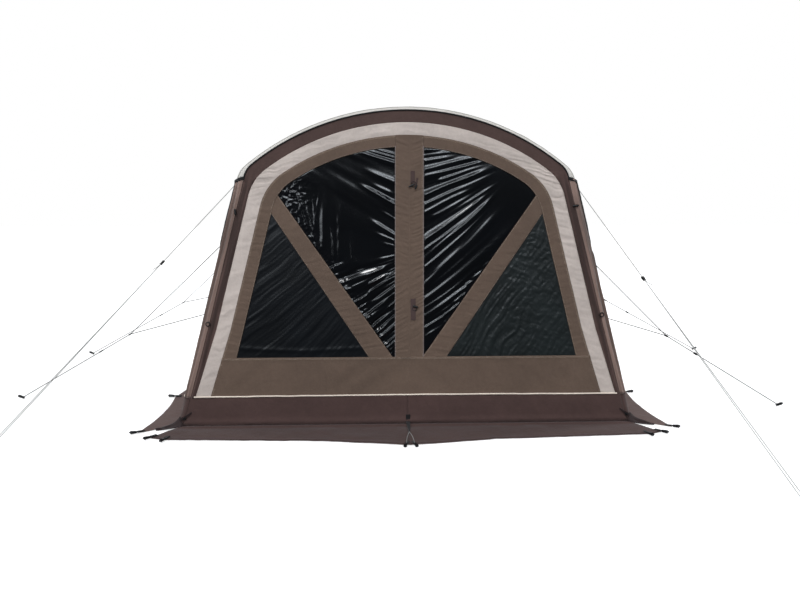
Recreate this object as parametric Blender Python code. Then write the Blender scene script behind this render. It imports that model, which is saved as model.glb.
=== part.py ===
"""Inflatable tent: three air beams under a fabric shell, with window walls, mud skirts and guy lines.

Metres, +Z up. The front wall faces -Y. The origin is on the ground, at the middle of the floor plan.
Arch lines are described by how far they lie inside the outer skin.
"""

import math
from collections import namedtuple

import bmesh
import bpy
from mathutils import Vector

# Driving dimensions of the shell
DEPTH = 3.0  # from the front wall to the rear wall
BASE_HALF = 1.565  # half the width of the skin on the ground
SIDE_LEAN = 0.236  # how far a side wall leans in for each metre that it rises
ROOF_TOP = 2.178  # height of the skin at the ridge
ROOF_RADIUS = 1.717  # radius of the roof's arc
FABRIC = 0.006  # thickness of the fabric panels as solids
FILM = 0.004  # thickness of the window film as a solid
GAP = 0.0003  # clearance between neighbouring pieces
ROUND_DEPTH = 0.060  # depth over which the skin turns from a wall into the roof or a side
BEAM_RADIUS = 0.060

# Heights of the horizontal seams
SKIRT_TOP = 0.200
SEAM = 0.460
KNEE = 0.650  # below this the borders narrow towards the foot
SHOULDER = 1.640  # where the roof fabric meets the side walls

# Front wall: the middle strip and the two strips that slant down to its foot
STRIP_LEFT = -0.084
STRIP_RIGHT = 0.107
BRACE_UPPER = ((0.105, 0.465), (0.880, 1.560))  # edge along the upper window, foot then head
BRACE_LOWER = ((0.266, 0.460), (0.920, 1.427))  # edge along the lower window, foot then head
PIPING_HALF = 1.440
PIPING_HEIGHT = 0.010
PIPING_DEPTH = 0.004

# Side wall windows: distance from the end wall, and heights
SIDE_WINDOW_Y = (0.290, 1.290)
SIDE_WINDOW_Z = (0.620, 1.400)
PANE_CLEARANCE = 0.0004

# Mud skirt: how far its ground flap reaches out, and its pegs
FLAP = 0.004  # thickness of the ground flap
FRONT_FLAP = ((0.0, 0.400), (0.550, 0.310), (1.580, 0.255), (1.670, 0.215))
REAR_FLAP = ((0.0, 0.255), (1.580, 0.255), (1.670, 0.215))
SIDE_FLAP_OUTER = 1.780
SIDE_FLAP_END = 0.120  # how far its end pegs stand beyond the end walls
SIDE_FLAP_BAYS = 4
SIDE_FLAP_SCALLOP = 0.035
SIDE_FLAP_LAP = 0.0042  # how far it runs in under the foot of the side wall
SIDE_FLAP_CORNER = (0.012, 0.040)  # how its inner corners are cut back to follow the skin's turn
FRONT_PEGS = (0.025, 1.560, 1.660)
REAR_PEGS = (0.0, 0.810, 1.620)
PEG_RADIUS = 0.004
PEG_HEIGHT = 0.030
PEG_LEAN = 0.026
PEG_HEAD = 0.010

# Guy lines
CORD_RADIUS = 0.002
CORD_ON_PEG = 0.6  # share of a peg's height at which the cord goes round it
TAB = (0.045, 0.040, 0.004)  # webbing tab along the wall, across it, and its thickness
SLIDER = (0.030, 0.011, 0.007)
UPPER_TAB_Z = 1.540
LOWER_TAB_Z = 0.600
CORNER_TAB_Z = 1.650
CORNER_TAB_INSET = 0.095  # from the end wall
STRAND_SPREAD = 0.010  # half the distance between the strands of a doubled guy at its peg
STRAND_BAR = 0.012  # half the length of the cord across a peg that joins its strands
SLIDER_TO_PEG = 0.250  # along the trunk of a branched guy, from its junction
CORNER_GUYS = {  # side, end, peg (x, y), and share of the length at which the slider sits
    "front_left_guy": (-1, -1, (-2.300, -3.000), 0.31),
    "front_right_guy": (1, -1, (1.850, -3.000), 0.37),
    "back_left_guy": (-1, 1, (-2.075, 3.000), 0.34),
    "back_right_guy": (1, 1, (2.075, 3.000), 0.34),
}
BRANCHED_GUYS = {  # side, beam, where the branches join, and peg (x, y)
    "middle_left_guy": (-1, "middle", (-2.230, -0.520, 0.440), (-2.920, -0.820)),
    "middle_right_guy": (1, "middle", (2.130, -0.740, 0.440), (2.750, -1.200)),
    "rear_left_guy": (-1, "rear", (-2.230, 0.970, 0.480), (-3.030, 0.690)),
    "rear_right_guy": (1, "rear", (2.230, 0.970, 0.480), (3.030, 0.690)),
}

FRONT_Y = -DEPTH / 2
REAR_Y = DEPTH / 2
END_BEAM = FABRIC + GAP + BEAM_RADIUS  # from an end wall to the middle of its beam
BEAMS = {"front": FRONT_Y + END_BEAM, "middle": 0.0, "rear": REAR_Y - END_BEAM}
ROOF_CENTRE_Z = ROOF_TOP - ROOF_RADIUS
SLANT = math.hypot(1, SIDE_LEAN)  # length of wall for each metre that it rises
ARC_STEPS = 12
FILLET_STEPS = 5
ROUND_STEPS = 4
BEAM_SIDES = 12
CORD_SIDES = 6

# An arch line: how far inside the skin it runs at the ridge, the sides and the feet,
# and the radius that rounds its shoulders
Line = namedtuple("Line", "top side foot fillet")
SKIN = Line(0.0, 0.0, 0.0, 0.170)
BORDER_OUTER = Line(0.030, 0.055, 0.045, 0.150)
BORDER_INNER = Line(0.114, 0.112, 0.068, 0.320)
PANEL_EDGE = Line(0.201, 0.205, 0.166, 0.380)
WINDOW_EDGE = Line(0.282, 0.290, 0.285, 0.300)


# Arch lines

def moved_in(line, by):
    """The arch line that runs a distance inside another one."""
    return Line(line.top + by, line.side + by, line.foot + by, line.fillet - by)


def side_x(line, z):
    """How far from the middle an arch line is, at a height on its straight side."""
    below_knee = max(0.0, 1 - z / KNEE)
    inside = line.side - (line.side - line.foot) * below_knee
    return BASE_HALF - SIDE_LEAN * z - inside * SLANT


def shoulder_centre(line):
    """The centre (x, z) of the circle that joins the side of an arch line to its roof arc."""
    reach = BASE_HALF - (line.side + line.fillet) * SLANT
    distance = ROOF_RADIUS - line.top - line.fillet
    half = (reach * SIDE_LEAN + ROOF_CENTRE_Z) / SLANT**2
    rest = (reach**2 + ROOF_CENTRE_Z**2 - distance**2) / SLANT**2
    z = half + math.sqrt(half**2 - rest)
    return reach - SIDE_LEAN * z, z


def right_half(line, heights):
    """Points (x, z) of an arch line from the right foot up to the ridge."""
    points = [(side_x(line, z), z) for z in heights]
    x, z = shoulder_centre(line)
    start = math.atan2(SIDE_LEAN, 1)
    end = math.atan2(z - ROOF_CENTRE_Z, x)
    for i in range(FILLET_STEPS):
        angle = start + (end - start) * i / FILLET_STEPS
        points.append((x + line.fillet * math.cos(angle), z + line.fillet * math.sin(angle)))
    radius = ROOF_RADIUS - line.top
    for i in range(ARC_STEPS + 1):
        angle = end + (math.pi / 2 - end) * i / ARC_STEPS
        points.append((radius * math.cos(angle), ROOF_CENTRE_Z + radius * math.sin(angle)))
    return points


def outline(line, heights):
    """Points (x, z) of an arch line from the right foot over the ridge to the left foot."""
    right = right_half(line, heights)
    return right + [(-x, z) for x, z in reversed(right[:-1])]


# Flat outlines

def clipped(points, normal, limit):
    """The part of an outline on the side of a line where its product with normal is below limit."""
    kept = []
    for a, b in zip(points, points[1:] + points[:1]):
        over_a = a[0] * normal[0] + a[1] * normal[1] - limit
        over_b = b[0] * normal[0] + b[1] * normal[1] - limit
        if over_a <= 0:
            kept.append(a)
        if (over_a <= 0) != (over_b <= 0):
            share = over_a / (over_a - over_b)
            kept.append((a[0] + (b[0] - a[0]) * share, a[1] + (b[1] - a[1]) * share))
    return kept


def under_line(points, line, above=False):
    """The part of an outline under, or above, a slanting line given by its foot and head."""
    (x0, z0), (x1, z1) = line
    normal = (z0 - z1, x1 - x0)
    limit = normal[0] * x0 + normal[1] * z0
    if above:
        return clipped(points, (-normal[0], -normal[1]), -limit)
    return clipped(points, normal, limit)


def inset(points, by=GAP / 2):
    """An outline moved inward by the same distance all round."""
    area = sum(a[0] * b[1] - b[0] * a[1] for a, b in zip(points, points[1:] + points[:1]))
    turn = 1 if area > 0 else -1
    result = []
    for i, point in enumerate(points):
        here = Vector(point)
        before = (here - Vector(points[i - 1])).normalized()
        after = (Vector(points[(i + 1) % len(points)]) - here).normalized()
        n0 = Vector((-before.y, before.x)) * turn
        n1 = Vector((-after.y, after.x)) * turn
        result.append(tuple(here + (n0 + n1) * (by / (1 + n0.dot(n1)))))
    return result


def mirrored(points):
    """An outline mirrored left to right."""
    return [(-x, z) for x, z in points]


# Meshes

def loft(rings):
    """A closed mesh through rings of equal length, with a face over the first and the last."""
    work = bmesh.new()
    rows = [[work.verts.new(point) for point in ring] for ring in rings]
    work.faces.new(rows[0][::-1])
    work.faces.new(rows[-1])
    for lower, upper in zip(rows, rows[1:]):
        for i in range(len(lower)):
            j = (i + 1) % len(lower)
            work.faces.new((lower[i], lower[j], upper[j], upper[i]))
    bmesh.ops.recalc_face_normals(work, faces=work.faces)
    mesh = bpy.data.meshes.new("piece")
    work.to_mesh(mesh)
    work.free()
    return mesh


def wall_slab(points, y0, y1):
    """A flat upright panel from an outline in (x, z)."""
    return loft([[(x, y, z) for x, z in points] for y in (y0, y1)])


def ground_slab(points, z1):
    """A flat panel on the ground from an outline in (x, y)."""
    return loft([[(x, y, z) for x, y in points] for z in (0.0, z1)])


def rod(start, end, radius, sides=CORD_SIDES):
    """A straight round bar between two points."""
    start, end = Vector(start), Vector(end)
    turn = (end - start).to_track_quat("Z", "Y")
    rings = []
    for centre in (start, end):
        around = [2 * math.pi * i / sides for i in range(sides)]
        spokes = [turn @ Vector((math.cos(a), math.sin(a), 0)) for a in around]
        rings.append([centre + spoke * radius for spoke in spokes])
    return loft(rings)


def block(centre, along, across, size):
    """A box on two given directions, with its size along each and along their normal."""
    along = Vector(along).normalized()
    across = Vector(across).normalized()
    normal = along.cross(across)
    rings = []
    for sign in (-0.5, 0.5):
        base = Vector(centre) + normal * size[2] * sign
        corners = ((-0.5, -0.5), (0.5, -0.5), (0.5, 0.5), (-0.5, 0.5))
        rings.append([base + along * size[0] * a + across * size[1] * b for a, b in corners])
    return loft(rings)


def combined(meshes, operation="UNION"):
    """One mesh from a first mesh and others that are joined to it or cut out of it."""
    scene = bpy.context.scene.collection
    base = bpy.data.objects.new("base", meshes[0])
    scene.objects.link(base)
    tools = []
    for mesh in meshes[1:]:
        tool = bpy.data.objects.new("tool", mesh)
        scene.objects.link(tool)
        modifier = base.modifiers.new("combine", "BOOLEAN")
        modifier.operation = operation
        modifier.object = tool
        tools.append(tool)
    seen = base.evaluated_get(bpy.context.evaluated_depsgraph_get())
    result = bpy.data.meshes.new_from_object(seen)
    for extra in [base, *tools]:
        bpy.data.objects.remove(extra)
    return result


def flipped_mesh(mesh, axis):
    """A copy of a mesh mirrored across the plane x = 0 or y = 0."""
    copy = mesh.copy()
    for vertex in copy.vertices:
        vertex.co[axis] = -vertex.co[axis]
    copy.flip_normals()
    return copy


# Objects and materials

def material(name, colour, roughness):
    """A plain surface of one colour."""
    result = bpy.data.materials.new(name)
    result.use_nodes = True
    shader = result.node_tree.nodes["Principled BSDF"]
    shader.inputs["Base Color"].default_value = (*colour, 1)
    shader.inputs["Roughness"].default_value = roughness
    result.diffuse_color = (*colour, 1)
    return result


def place(name, mesh, surface, smooth=False):
    """A named object for one sub-part."""
    mesh.name = name
    mesh.materials.clear()
    mesh.materials.append(surface)
    if smooth:
        mesh.shade_smooth()
        mesh.set_sharp_from_angle(angle=math.radians(40))
    thing = bpy.data.objects.new(name, mesh)
    bpy.context.scene.collection.objects.link(thing)
    return thing


# Air beams, roof and sides

def beam(y):
    """An air beam: a round tube that follows the skin from foot to foot."""
    inside = FABRIC + GAP + BEAM_RADIUS  # from the skin to the middle of the tube
    heights = (0.0, SHOULDER)
    centres = outline(moved_in(SKIN, inside), heights)
    skin = outline(SKIN, heights)
    rings = []
    for (cx, cz), (sx, sz) in zip(centres, skin):
        ring = []
        for i in range(BEAM_SIDES):
            angle = 2 * math.pi * i / BEAM_SIDES
            out = math.cos(angle) * BEAM_RADIUS / inside
            across = math.sin(angle) * BEAM_RADIUS
            ring.append((cx + (sx - cx) * out, y + across, cz + (sz - cz) * out))
        rings.append(ring)
    return loft(rings)


def rounded_end(edge, skin, inner):
    """The turn from the front wall into the skin: its outer and inner points, edge first."""
    outer_side, inner_side = [], []
    for i in range(ROUND_STEPS + 1):
        angle = math.pi / 2 * i / ROUND_STEPS
        share = math.sin(angle)
        back = 1 - math.cos(angle)
        outer = [e + (s - e) * share for e, s in zip(edge, skin)]
        lining = [e + (s - e) * share for e, s in zip(edge, inner)]
        outer_side.append((outer[0], FRONT_Y + ROUND_DEPTH * back, outer[1]))
        depth = FABRIC + (ROUND_DEPTH - FABRIC) * back
        inner_side.append((lining[0], FRONT_Y + depth, lining[1]))
    return outer_side, inner_side


def front_half_ring(edge, skin, inner):
    """A section of the shell from the front wall to just before the middle."""
    outer_side, inner_side = rounded_end(edge, skin, inner)
    middle = -GAP / 2
    ends = [(skin[0], middle, skin[1]), (inner[0], middle, inner[1])]
    return outer_side + ends + inner_side[::-1]


def whole_ring(edge, skin, inner):
    """A section of the shell from the front wall to the rear wall."""
    outer_side, inner_side = rounded_end(edge, skin, inner)
    outer_rear = [(x, -y, z) for x, y, z in outer_side[::-1]]
    inner_rear = [(x, -y, z) for x, y, z in inner_side]
    return outer_side + outer_rear + inner_rear + inner_side[::-1]


def roof_bay():
    """The front half of the roof, from shoulder to shoulder."""
    heights = (SHOULDER + GAP / 2,)
    edge = outline(moved_in(BORDER_OUTER, -GAP / 2), heights)
    skin = outline(SKIN, heights)
    inner = outline(moved_in(SKIN, FABRIC), heights)
    return loft([front_half_ring(e, s, i) for e, s, i in zip(edge, skin, inner)])


def side_points(line, heights):
    """Points (x, z) up the straight right side of an arch line."""
    return [(side_x(line, z), z) for z in heights]


def side_shell(heights, ring):
    """Part of the right side wall between heights."""
    edge = side_points(moved_in(BORDER_OUTER, -GAP / 2), heights)
    skin = side_points(SKIN, heights)
    inner = side_points(moved_in(SKIN, FABRIC), heights)
    return loft([ring(e, s, i) for e, s, i in zip(edge, skin, inner)])


def side_window(clearance, thickness):
    """The block in the right front side wall that its window takes, made smaller by a clearance."""
    y0, y1 = (FRONT_Y + y for y in SIDE_WINDOW_Y)
    z0, z1 = SIDE_WINDOW_Z
    z = (z0 + z1) / 2
    middle = moved_in(SKIN, FABRIC / 2)
    centre = (side_x(middle, z), (y0 + y1) / 2, z)
    size = ((z1 - z0) * SLANT - 2 * clearance, y1 - y0 - 2 * clearance, thickness)
    return block(centre, (-SIDE_LEAN, 0, 1), (0, 1, 0), size)


def side_wall():
    """The right front side wall, above its skirt, with its window cut out."""
    heights = (SKIRT_TOP + GAP / 2, KNEE, SHOULDER - GAP / 2)
    wall = side_shell(heights, front_half_ring)
    return combined([wall, side_window(0, 10 * FABRIC)], "DIFFERENCE")


def add_shell(beam_skin, roof_fabric, side_fabric, film):
    """Air beams, roof bays, side walls and their windows."""
    for name, y in BEAMS.items():
        place(f"{name}_air_beam", beam(y), beam_skin, smooth=True)
    roof = roof_bay()
    place("front_roof", roof, roof_fabric, smooth=True)
    place("rear_roof", flipped_mesh(roof, 1), roof_fabric, smooth=True)
    for name, build, surface in (
        ("side_wall", side_wall(), side_fabric),
        ("side_window", side_window(PANE_CLEARANCE, FILM), film),
    ):
        rear = flipped_mesh(build, 1)
        place(f"right_rear_{name}", rear, surface, smooth=True)
        place(f"left_rear_{name}", flipped_mesh(rear, 0), surface, smooth=True)
        place(f"left_front_{name}", flipped_mesh(build, 0), surface, smooth=True)
        place(f"right_front_{name}", build, surface, smooth=True)


# End walls

def band(outer, inner, bottom):
    """The outline between two arch lines, down to a height."""
    heights = (bottom, KNEE)
    return inset(outline(outer, heights) + outline(inner, heights)[::-1])


def arch_area(line, bottom):
    """The outline under an arch line, down to a height."""
    return outline(line, (bottom, KNEE))


def right_of(points, x):
    return clipped(points, (-1, 0), -x)


def frame_side(strip_edge):
    """The right half of the panel's trim, from the middle strip round to the seam."""
    outer = [p for p in right_half(PANEL_EDGE, (SEAM, KNEE)) if p[0] > strip_edge]
    inner = [p for p in right_half(WINDOW_EDGE, (SEAM, KNEE)) if p[0] > strip_edge]
    outer.append((strip_edge, roof_height(PANEL_EDGE, strip_edge)))
    inner.append((strip_edge, roof_height(WINDOW_EDGE, strip_edge)))
    return inset(outer + inner[::-1])


def roof_height(line, x):
    """The height of an arch line's roof, as drawn by its points, at a distance from the middle."""
    points = outline(line, ())
    for (x0, z0), (x1, z1) in zip(points, points[1:]):
        if x1 <= x <= x0:
            return z0 + (z1 - z0) * (x - x0) / (x1 - x0)
    return ROOF_TOP - line.top


def strip_outline(line):
    """The middle strip, from the seam up to an arch line."""
    top = [p for p in outline(line, ()) if STRIP_LEFT < p[0] < STRIP_RIGHT and p[1] > SEAM]
    right = [(STRIP_RIGHT, SEAM), (STRIP_RIGHT, roof_height(line, STRIP_RIGHT))]
    left = [(STRIP_LEFT, roof_height(line, STRIP_LEFT)), (STRIP_LEFT, SEAM)]
    return inset(right + top + left)


def half_wall(strip_edge):
    """The upper window, slanting strip and lower window right of the middle strip."""
    inside = right_of(arch_area(WINDOW_EDGE, SEAM), strip_edge)
    upper = under_line(inside, BRACE_UPPER, above=True)
    brace = under_line(under_line(inside, BRACE_UPPER), BRACE_LOWER, above=True)
    lower = under_line(inside, BRACE_LOWER)
    return inset(upper), inset(brace), inset(lower)


def add_borders(end, y0, y1, dark, pale):
    """The dark border and the pale border round an end wall."""
    place(f"{end}_outer_border", wall_slab(band(BORDER_OUTER, BORDER_INNER, SKIRT_TOP), y0, y1), dark)
    place(f"{end}_inner_border", wall_slab(band(BORDER_INNER, PANEL_EDGE, SKIRT_TOP), y0, y1), pale)


def lower_panel(y0, y1):
    """The plain panel between the skirt and the windows."""
    heights = (SKIRT_TOP, SEAM)
    right = side_points(PANEL_EDGE, heights)
    return wall_slab(inset(right + mirrored(right)[::-1]), y0, y1)


def add_front_wall(dark, pale, panel, film, cream):
    y0, y1 = FRONT_Y, FRONT_Y + FABRIC
    film_y = (y0 + (FABRIC - FILM) / 2, y0 + (FABRIC + FILM) / 2)
    add_borders("front", y0, y1, dark, pale)
    place("front_centre_strip", wall_slab(strip_outline(PANEL_EDGE), y0, y1), panel)
    place("front_lower_panel", lower_panel(y0, y1), panel)
    for side, edge, turned in (("left", -STRIP_LEFT, mirrored), ("right", STRIP_RIGHT, list)):
        upper, brace, lower = half_wall(edge)
        place(f"front_{side}_frame", wall_slab(turned(frame_side(edge)), y0, y1), panel)
        place(f"front_{side}_brace", wall_slab(turned(brace), y0, y1), panel)
        place(f"front_upper_{side}_window", wall_slab(turned(upper), *film_y), film)
        place(f"front_lower_{side}_window", wall_slab(turned(lower), *film_y), film)
    middle = (0, y0 - GAP - PIPING_DEPTH / 2, SKIRT_TOP)
    size = (2 * PIPING_HALF, PIPING_DEPTH, PIPING_HEIGHT)
    place("front_piping", block(middle, (1, 0, 0), (0, 1, 0), size), cream)


def add_rear_wall(dark, pale, panel, film):
    """The rear wall repeats the front's borders, with one window each side of its strip."""
    y0, y1 = REAR_Y - FABRIC, REAR_Y
    film_y = (y0 + (FABRIC - FILM) / 2, y0 + (FABRIC + FILM) / 2)
    add_borders("rear", y0, y1, dark, pale)
    place("rear_lower_panel", lower_panel(y0, y1), panel)
    windows = {}
    for side, edge, turned in (("left", -STRIP_LEFT, mirrored), ("right", STRIP_RIGHT, list)):
        windows[side] = turned(inset(right_of(arch_area(WINDOW_EDGE, SEAM), edge)))
    whole = wall_slab(inset(arch_area(PANEL_EDGE, SEAM)), y0, y1)
    holes = [wall_slab(inset(w, -GAP), y0 - FABRIC, y1 + FABRIC) for w in windows.values()]
    place("rear_frame", combined([whole, *holes], "DIFFERENCE"), panel)
    for side, points in windows.items():
        place(f"rear_{side}_window", wall_slab(points, *film_y), film)


# Mud skirt and pegs

def peg(x, y, away):
    """The part of a ground peg that stands out of the ground, leaning away from the tent."""
    lean = Vector((*away, 0)).normalized() * PEG_LEAN
    head = Vector((x, y, 0)) + lean + Vector((0, 0, PEG_HEIGHT))
    shaft = []
    for share in (0.0, 1.0):
        centre = Vector((x, y, 0)) + (head - Vector((x, y, 0))) * share
        around = [2 * math.pi * i / CORD_SIDES for i in range(CORD_SIDES)]
        shaft.append([centre + Vector((math.cos(a), math.sin(a), 0)) * PEG_RADIUS for a in around])
    hook = block(head, (*away, 0), (-away[1], away[0], 0), (PEG_HEAD * 2, PEG_HEAD, PEG_RADIUS * 2))
    return [loft(shaft), hook]


def flap_depth(profile, x):
    """How far a ground flap reaches out in front of the wall at a distance from the middle."""
    for (x0, d0), (x1, d1) in zip(profile, profile[1:]):
        if x <= x1:
            return d0 + (d1 - d0) * (x - x0) / (x1 - x0)
    return profile[-1][1]


def skirt_wall(x_from, mirror=False):
    """The upright strip of an end skirt, from a distance right of the middle to the corner."""
    heights = (0.0, SKIRT_TOP)
    corner = side_points(BORDER_OUTER, heights)
    start = [(x_from, SKIRT_TOP), (x_from, 0.0)]
    return corner + (mirrored(corner)[::-1] if mirror else start)


def front_skirt():
    """The right half of the front skirt: an upright strip, its ground flap and its pegs."""
    bottom = skirt_wall(0.0)
    upright = wall_slab(ground_inset(bottom), FRONT_Y, FRONT_Y + FABRIC)
    corner = side_x(BORDER_OUTER, FLAP) - GAP
    outer = [(x + (GAP / 2 if x == 0 else 0), FRONT_Y - depth) for x, depth in FRONT_FLAP]
    inside = FRONT_Y + FABRIC / 2
    back = [(corner, FRONT_Y - GAP), (corner, inside), (GAP / 2, inside)]
    pieces = [upright, ground_slab(outer + back, FLAP)]
    for x in FRONT_PEGS:
        y = FRONT_Y - flap_depth(FRONT_FLAP, x) + PEG_RADIUS
        away = (0.6, -0.8) if x == FRONT_PEGS[-1] else (0.0, -1.0)
        pieces += peg(x, y, away)
    return combined(pieces)


def ground_inset(points):
    """An upright outline moved inward, with its lower edge left on the ground."""
    return [(x, z if z > GAP else 0.0) for x, z in inset(points)]


def rear_skirt():
    """The rear skirt, in one piece from corner to corner."""
    upright = wall_slab(ground_inset(skirt_wall(0.0, mirror=True)), REAR_Y - FABRIC, REAR_Y)
    corner = side_x(BORDER_OUTER, FLAP) - GAP
    right = [(corner, REAR_Y + GAP)]
    right += [(x, REAR_Y + depth) for x, depth in reversed(REAR_FLAP) if x > 0]
    back = REAR_Y - FABRIC / 2
    points = [(corner, back), *right, *mirrored(right)[::-1], (-corner, back)]
    pieces = [upright, ground_slab(points, FLAP)]
    for x in REAR_PEGS:
        y = REAR_Y + flap_depth(REAR_FLAP, x) - PEG_RADIUS
        for sign in (1, -1) if x else (1,):
            away = (0.6 * sign, 0.8) if x == REAR_PEGS[-1] else (0.0, 1.0)
            pieces += peg(x * sign, y, away)
    return combined(pieces)


def side_skirt():
    """The right skirt: the foot of the side wall, its scalloped ground flap and its pegs."""
    foot = side_shell((0.0, SKIRT_TOP - GAP / 2), whole_ring)
    length = DEPTH + 2 * SIDE_FLAP_END
    ends = [-length / 2 + length * i / SIDE_FLAP_BAYS for i in range(SIDE_FLAP_BAYS + 1)]
    edge = []
    for y0, y1 in zip(ends, ends[1:]):
        for share in (0.0, 0.25, 0.5, 0.75):
            dip = SIDE_FLAP_SCALLOP * 4 * share * (1 - share)
            edge.append((SIDE_FLAP_OUTER - dip, y0 + (y1 - y0) * share))
    edge.append((SIDE_FLAP_OUTER, ends[-1]))
    lap = BASE_HALF - SIDE_FLAP_LAP
    end = REAR_Y - ROUND_DEPTH / 2
    cut_x, cut_y = lap - SIDE_FLAP_CORNER[0], end - SIDE_FLAP_CORNER[1]
    inner = [(cut_x, end), (lap, cut_y), (lap, -cut_y), (cut_x, -end)]
    pieces = [foot, ground_slab(edge + inner, FLAP)]
    for i, y in enumerate(ends):
        away = {0: (0.8, -0.6), SIDE_FLAP_BAYS: (0.8, 0.6)}.get(i, (1.0, 0.0))
        pieces += peg(SIDE_FLAP_OUTER - PEG_RADIUS, y, away)
    return combined(pieces)


def add_skirts(dark):
    half = front_skirt()
    place("front_left_skirt", flipped_mesh(half, 0), dark)
    place("front_right_skirt", half, dark)
    side = side_skirt()
    place("left_skirt", flipped_mesh(side, 0), dark)
    place("right_skirt", side, dark)
    place("rear_skirt", rear_skirt(), dark)


# Guy lines

def tab_on_side(y, z, sign):
    """A webbing tab that lies on a side wall, and the point where its cord starts."""
    out = Vector((sign, 0, SIDE_LEAN)).normalized()
    up = Vector((-sign * SIDE_LEAN, 0, 1))
    centre = Vector((sign * side_x(SKIN, z), y, z)) + out * (GAP + TAB[2] / 2)
    return block(centre, up, (0, 1, 0), TAB), centre + out * (CORD_RADIUS / 2)


def slider(start, end, distance):
    """A slider on a cord, at a distance from its start."""
    along = (Vector(end) - Vector(start)).normalized()
    across = along.cross(Vector((0, 0, 1)))
    return block(Vector(start) + along * distance, along, across, SLIDER)


def guy_peg(point, away):
    """A guy line's peg, and the point on it where the cord goes round it."""
    lean = Vector((*away, 0)).normalized()
    up_shaft = (lean * PEG_LEAN + Vector((0, 0, PEG_HEIGHT))) * CORD_ON_PEG
    return peg(*point, lean[:2]), Vector((*point, 0)) + up_shaft


def corner_guy(side, end_sign, peg_at, share):
    """A doubled guy from a shoulder: one cord to its slider, two from there to the peg."""
    y = end_sign * (REAR_Y - CORNER_TAB_INSET)
    tab, start = tab_on_side(y, CORNER_TAB_Z, side)
    away = Vector(peg_at) - Vector((side * BASE_HALF, y))
    pegs, end = guy_peg(peg_at, away)
    middle = start.lerp(end, share)
    across = Vector((-away.y, away.x, 0)).normalized()
    pieces = [tab, rod(start, middle, CORD_RADIUS), slider(start, end, (middle - start).length)]
    for sign in (1, -1):
        pieces.append(rod(middle, end + across * STRAND_SPREAD * sign, CORD_RADIUS))
    pieces.append(rod(end - across * STRAND_BAR, end + across * STRAND_BAR, CORD_RADIUS))
    return combined(pieces + pegs)


def branched_guy(side, on_beam, junction, peg_at):
    """A guy with two branches up to a beam and one trunk down to its peg."""
    upper, upper_end = tab_on_side(BEAMS[on_beam], UPPER_TAB_Z, side)
    lower, lower_end = tab_on_side(BEAMS[on_beam], LOWER_TAB_Z, side)
    pegs, end = guy_peg(peg_at, Vector(peg_at) - Vector(junction[:2]))
    pieces = [upper, lower, rod(junction, end, CORD_RADIUS), slider(junction, end, 0.0)]
    pieces += [rod(upper_end, junction, CORD_RADIUS), rod(lower_end, junction, CORD_RADIUS)]
    pieces.append(slider(junction, end, SLIDER_TO_PEG))
    return combined(pieces + pegs)


def add_guys(cord):
    for name, values in CORNER_GUYS.items():
        place(name, corner_guy(*values), cord)
    for name, values in BRANCHED_GUYS.items():
        place(name, branched_guy(*values), cord)


def build():
    for old in list(bpy.data.objects):
        bpy.data.objects.remove(old)
    dark = material("brown_fabric", (0.072, 0.043, 0.038), 0.85)
    pale = material("beige_fabric", (0.45, 0.38, 0.35), 0.85)
    panel = material("olive_brown_fabric", (0.115, 0.082, 0.062), 0.85)
    roof = material("pale_grey_fabric", (0.58, 0.56, 0.52), 0.8)
    film = material("tinted_film", (0.008, 0.011, 0.014), 0.12)
    cream = material("cream_piping", (0.68, 0.57, 0.44), 0.6)
    cord = material("grey_cord", (0.55, 0.55, 0.54), 0.8)
    beam_skin = material("black_beam_skin", (0.02, 0.02, 0.022), 0.6)
    add_shell(beam_skin, roof, dark, film)
    add_front_wall(dark, pale, panel, film, cream)
    add_rear_wall(dark, pale, panel, film)
    add_skirts(dark)
    add_guys(cord)


build()
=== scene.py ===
"""Looks of the inflatable tent: sewn fabric sheets, window film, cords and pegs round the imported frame."""

import math
from collections import namedtuple

import bmesh
import bpy
import numpy as np
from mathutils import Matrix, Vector


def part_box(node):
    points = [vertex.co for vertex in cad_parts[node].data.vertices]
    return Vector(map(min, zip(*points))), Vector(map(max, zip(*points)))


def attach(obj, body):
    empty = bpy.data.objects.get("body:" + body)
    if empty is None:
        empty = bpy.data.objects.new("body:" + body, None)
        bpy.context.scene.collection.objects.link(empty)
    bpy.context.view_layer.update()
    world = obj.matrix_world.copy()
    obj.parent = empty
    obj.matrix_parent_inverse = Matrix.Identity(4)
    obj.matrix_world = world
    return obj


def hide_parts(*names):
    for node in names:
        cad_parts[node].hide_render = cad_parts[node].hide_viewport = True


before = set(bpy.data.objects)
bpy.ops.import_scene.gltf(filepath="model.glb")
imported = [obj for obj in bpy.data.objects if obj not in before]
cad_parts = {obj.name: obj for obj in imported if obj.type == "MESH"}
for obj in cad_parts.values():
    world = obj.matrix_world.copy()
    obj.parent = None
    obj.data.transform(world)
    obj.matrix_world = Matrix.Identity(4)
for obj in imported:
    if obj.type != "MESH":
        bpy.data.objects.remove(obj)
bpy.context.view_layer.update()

# Arch lines, as the frame has them: how far inside the skin each runs, and its shoulder radius
Line = namedtuple("Line", "top side foot fillet")
SKIN = Line(0.0, 0.0, 0.0, 0.170)
BORDER_OUTER = Line(0.030, 0.055, 0.045, 0.150)
BORDER_INNER = Line(0.114, 0.112, 0.068, 0.320)
PANEL_EDGE = Line(0.201, 0.205, 0.166, 0.380)
WINDOW_EDGE = Line(0.282, 0.290, 0.285, 0.300)

FRONT_Y = float(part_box("front_outer_border")[0][1])
REAR_Y = float(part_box("rear_outer_border")[1][1])
WALL_Y = {"front": FRONT_Y, "rear": REAR_Y}
INWARD = {"front": 1, "rear": -1}
ENDS = tuple(INWARD.items())
SIDES = (("right", 1), ("left", -1))
LEFT_FIRST = SIDES[::-1]

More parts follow.
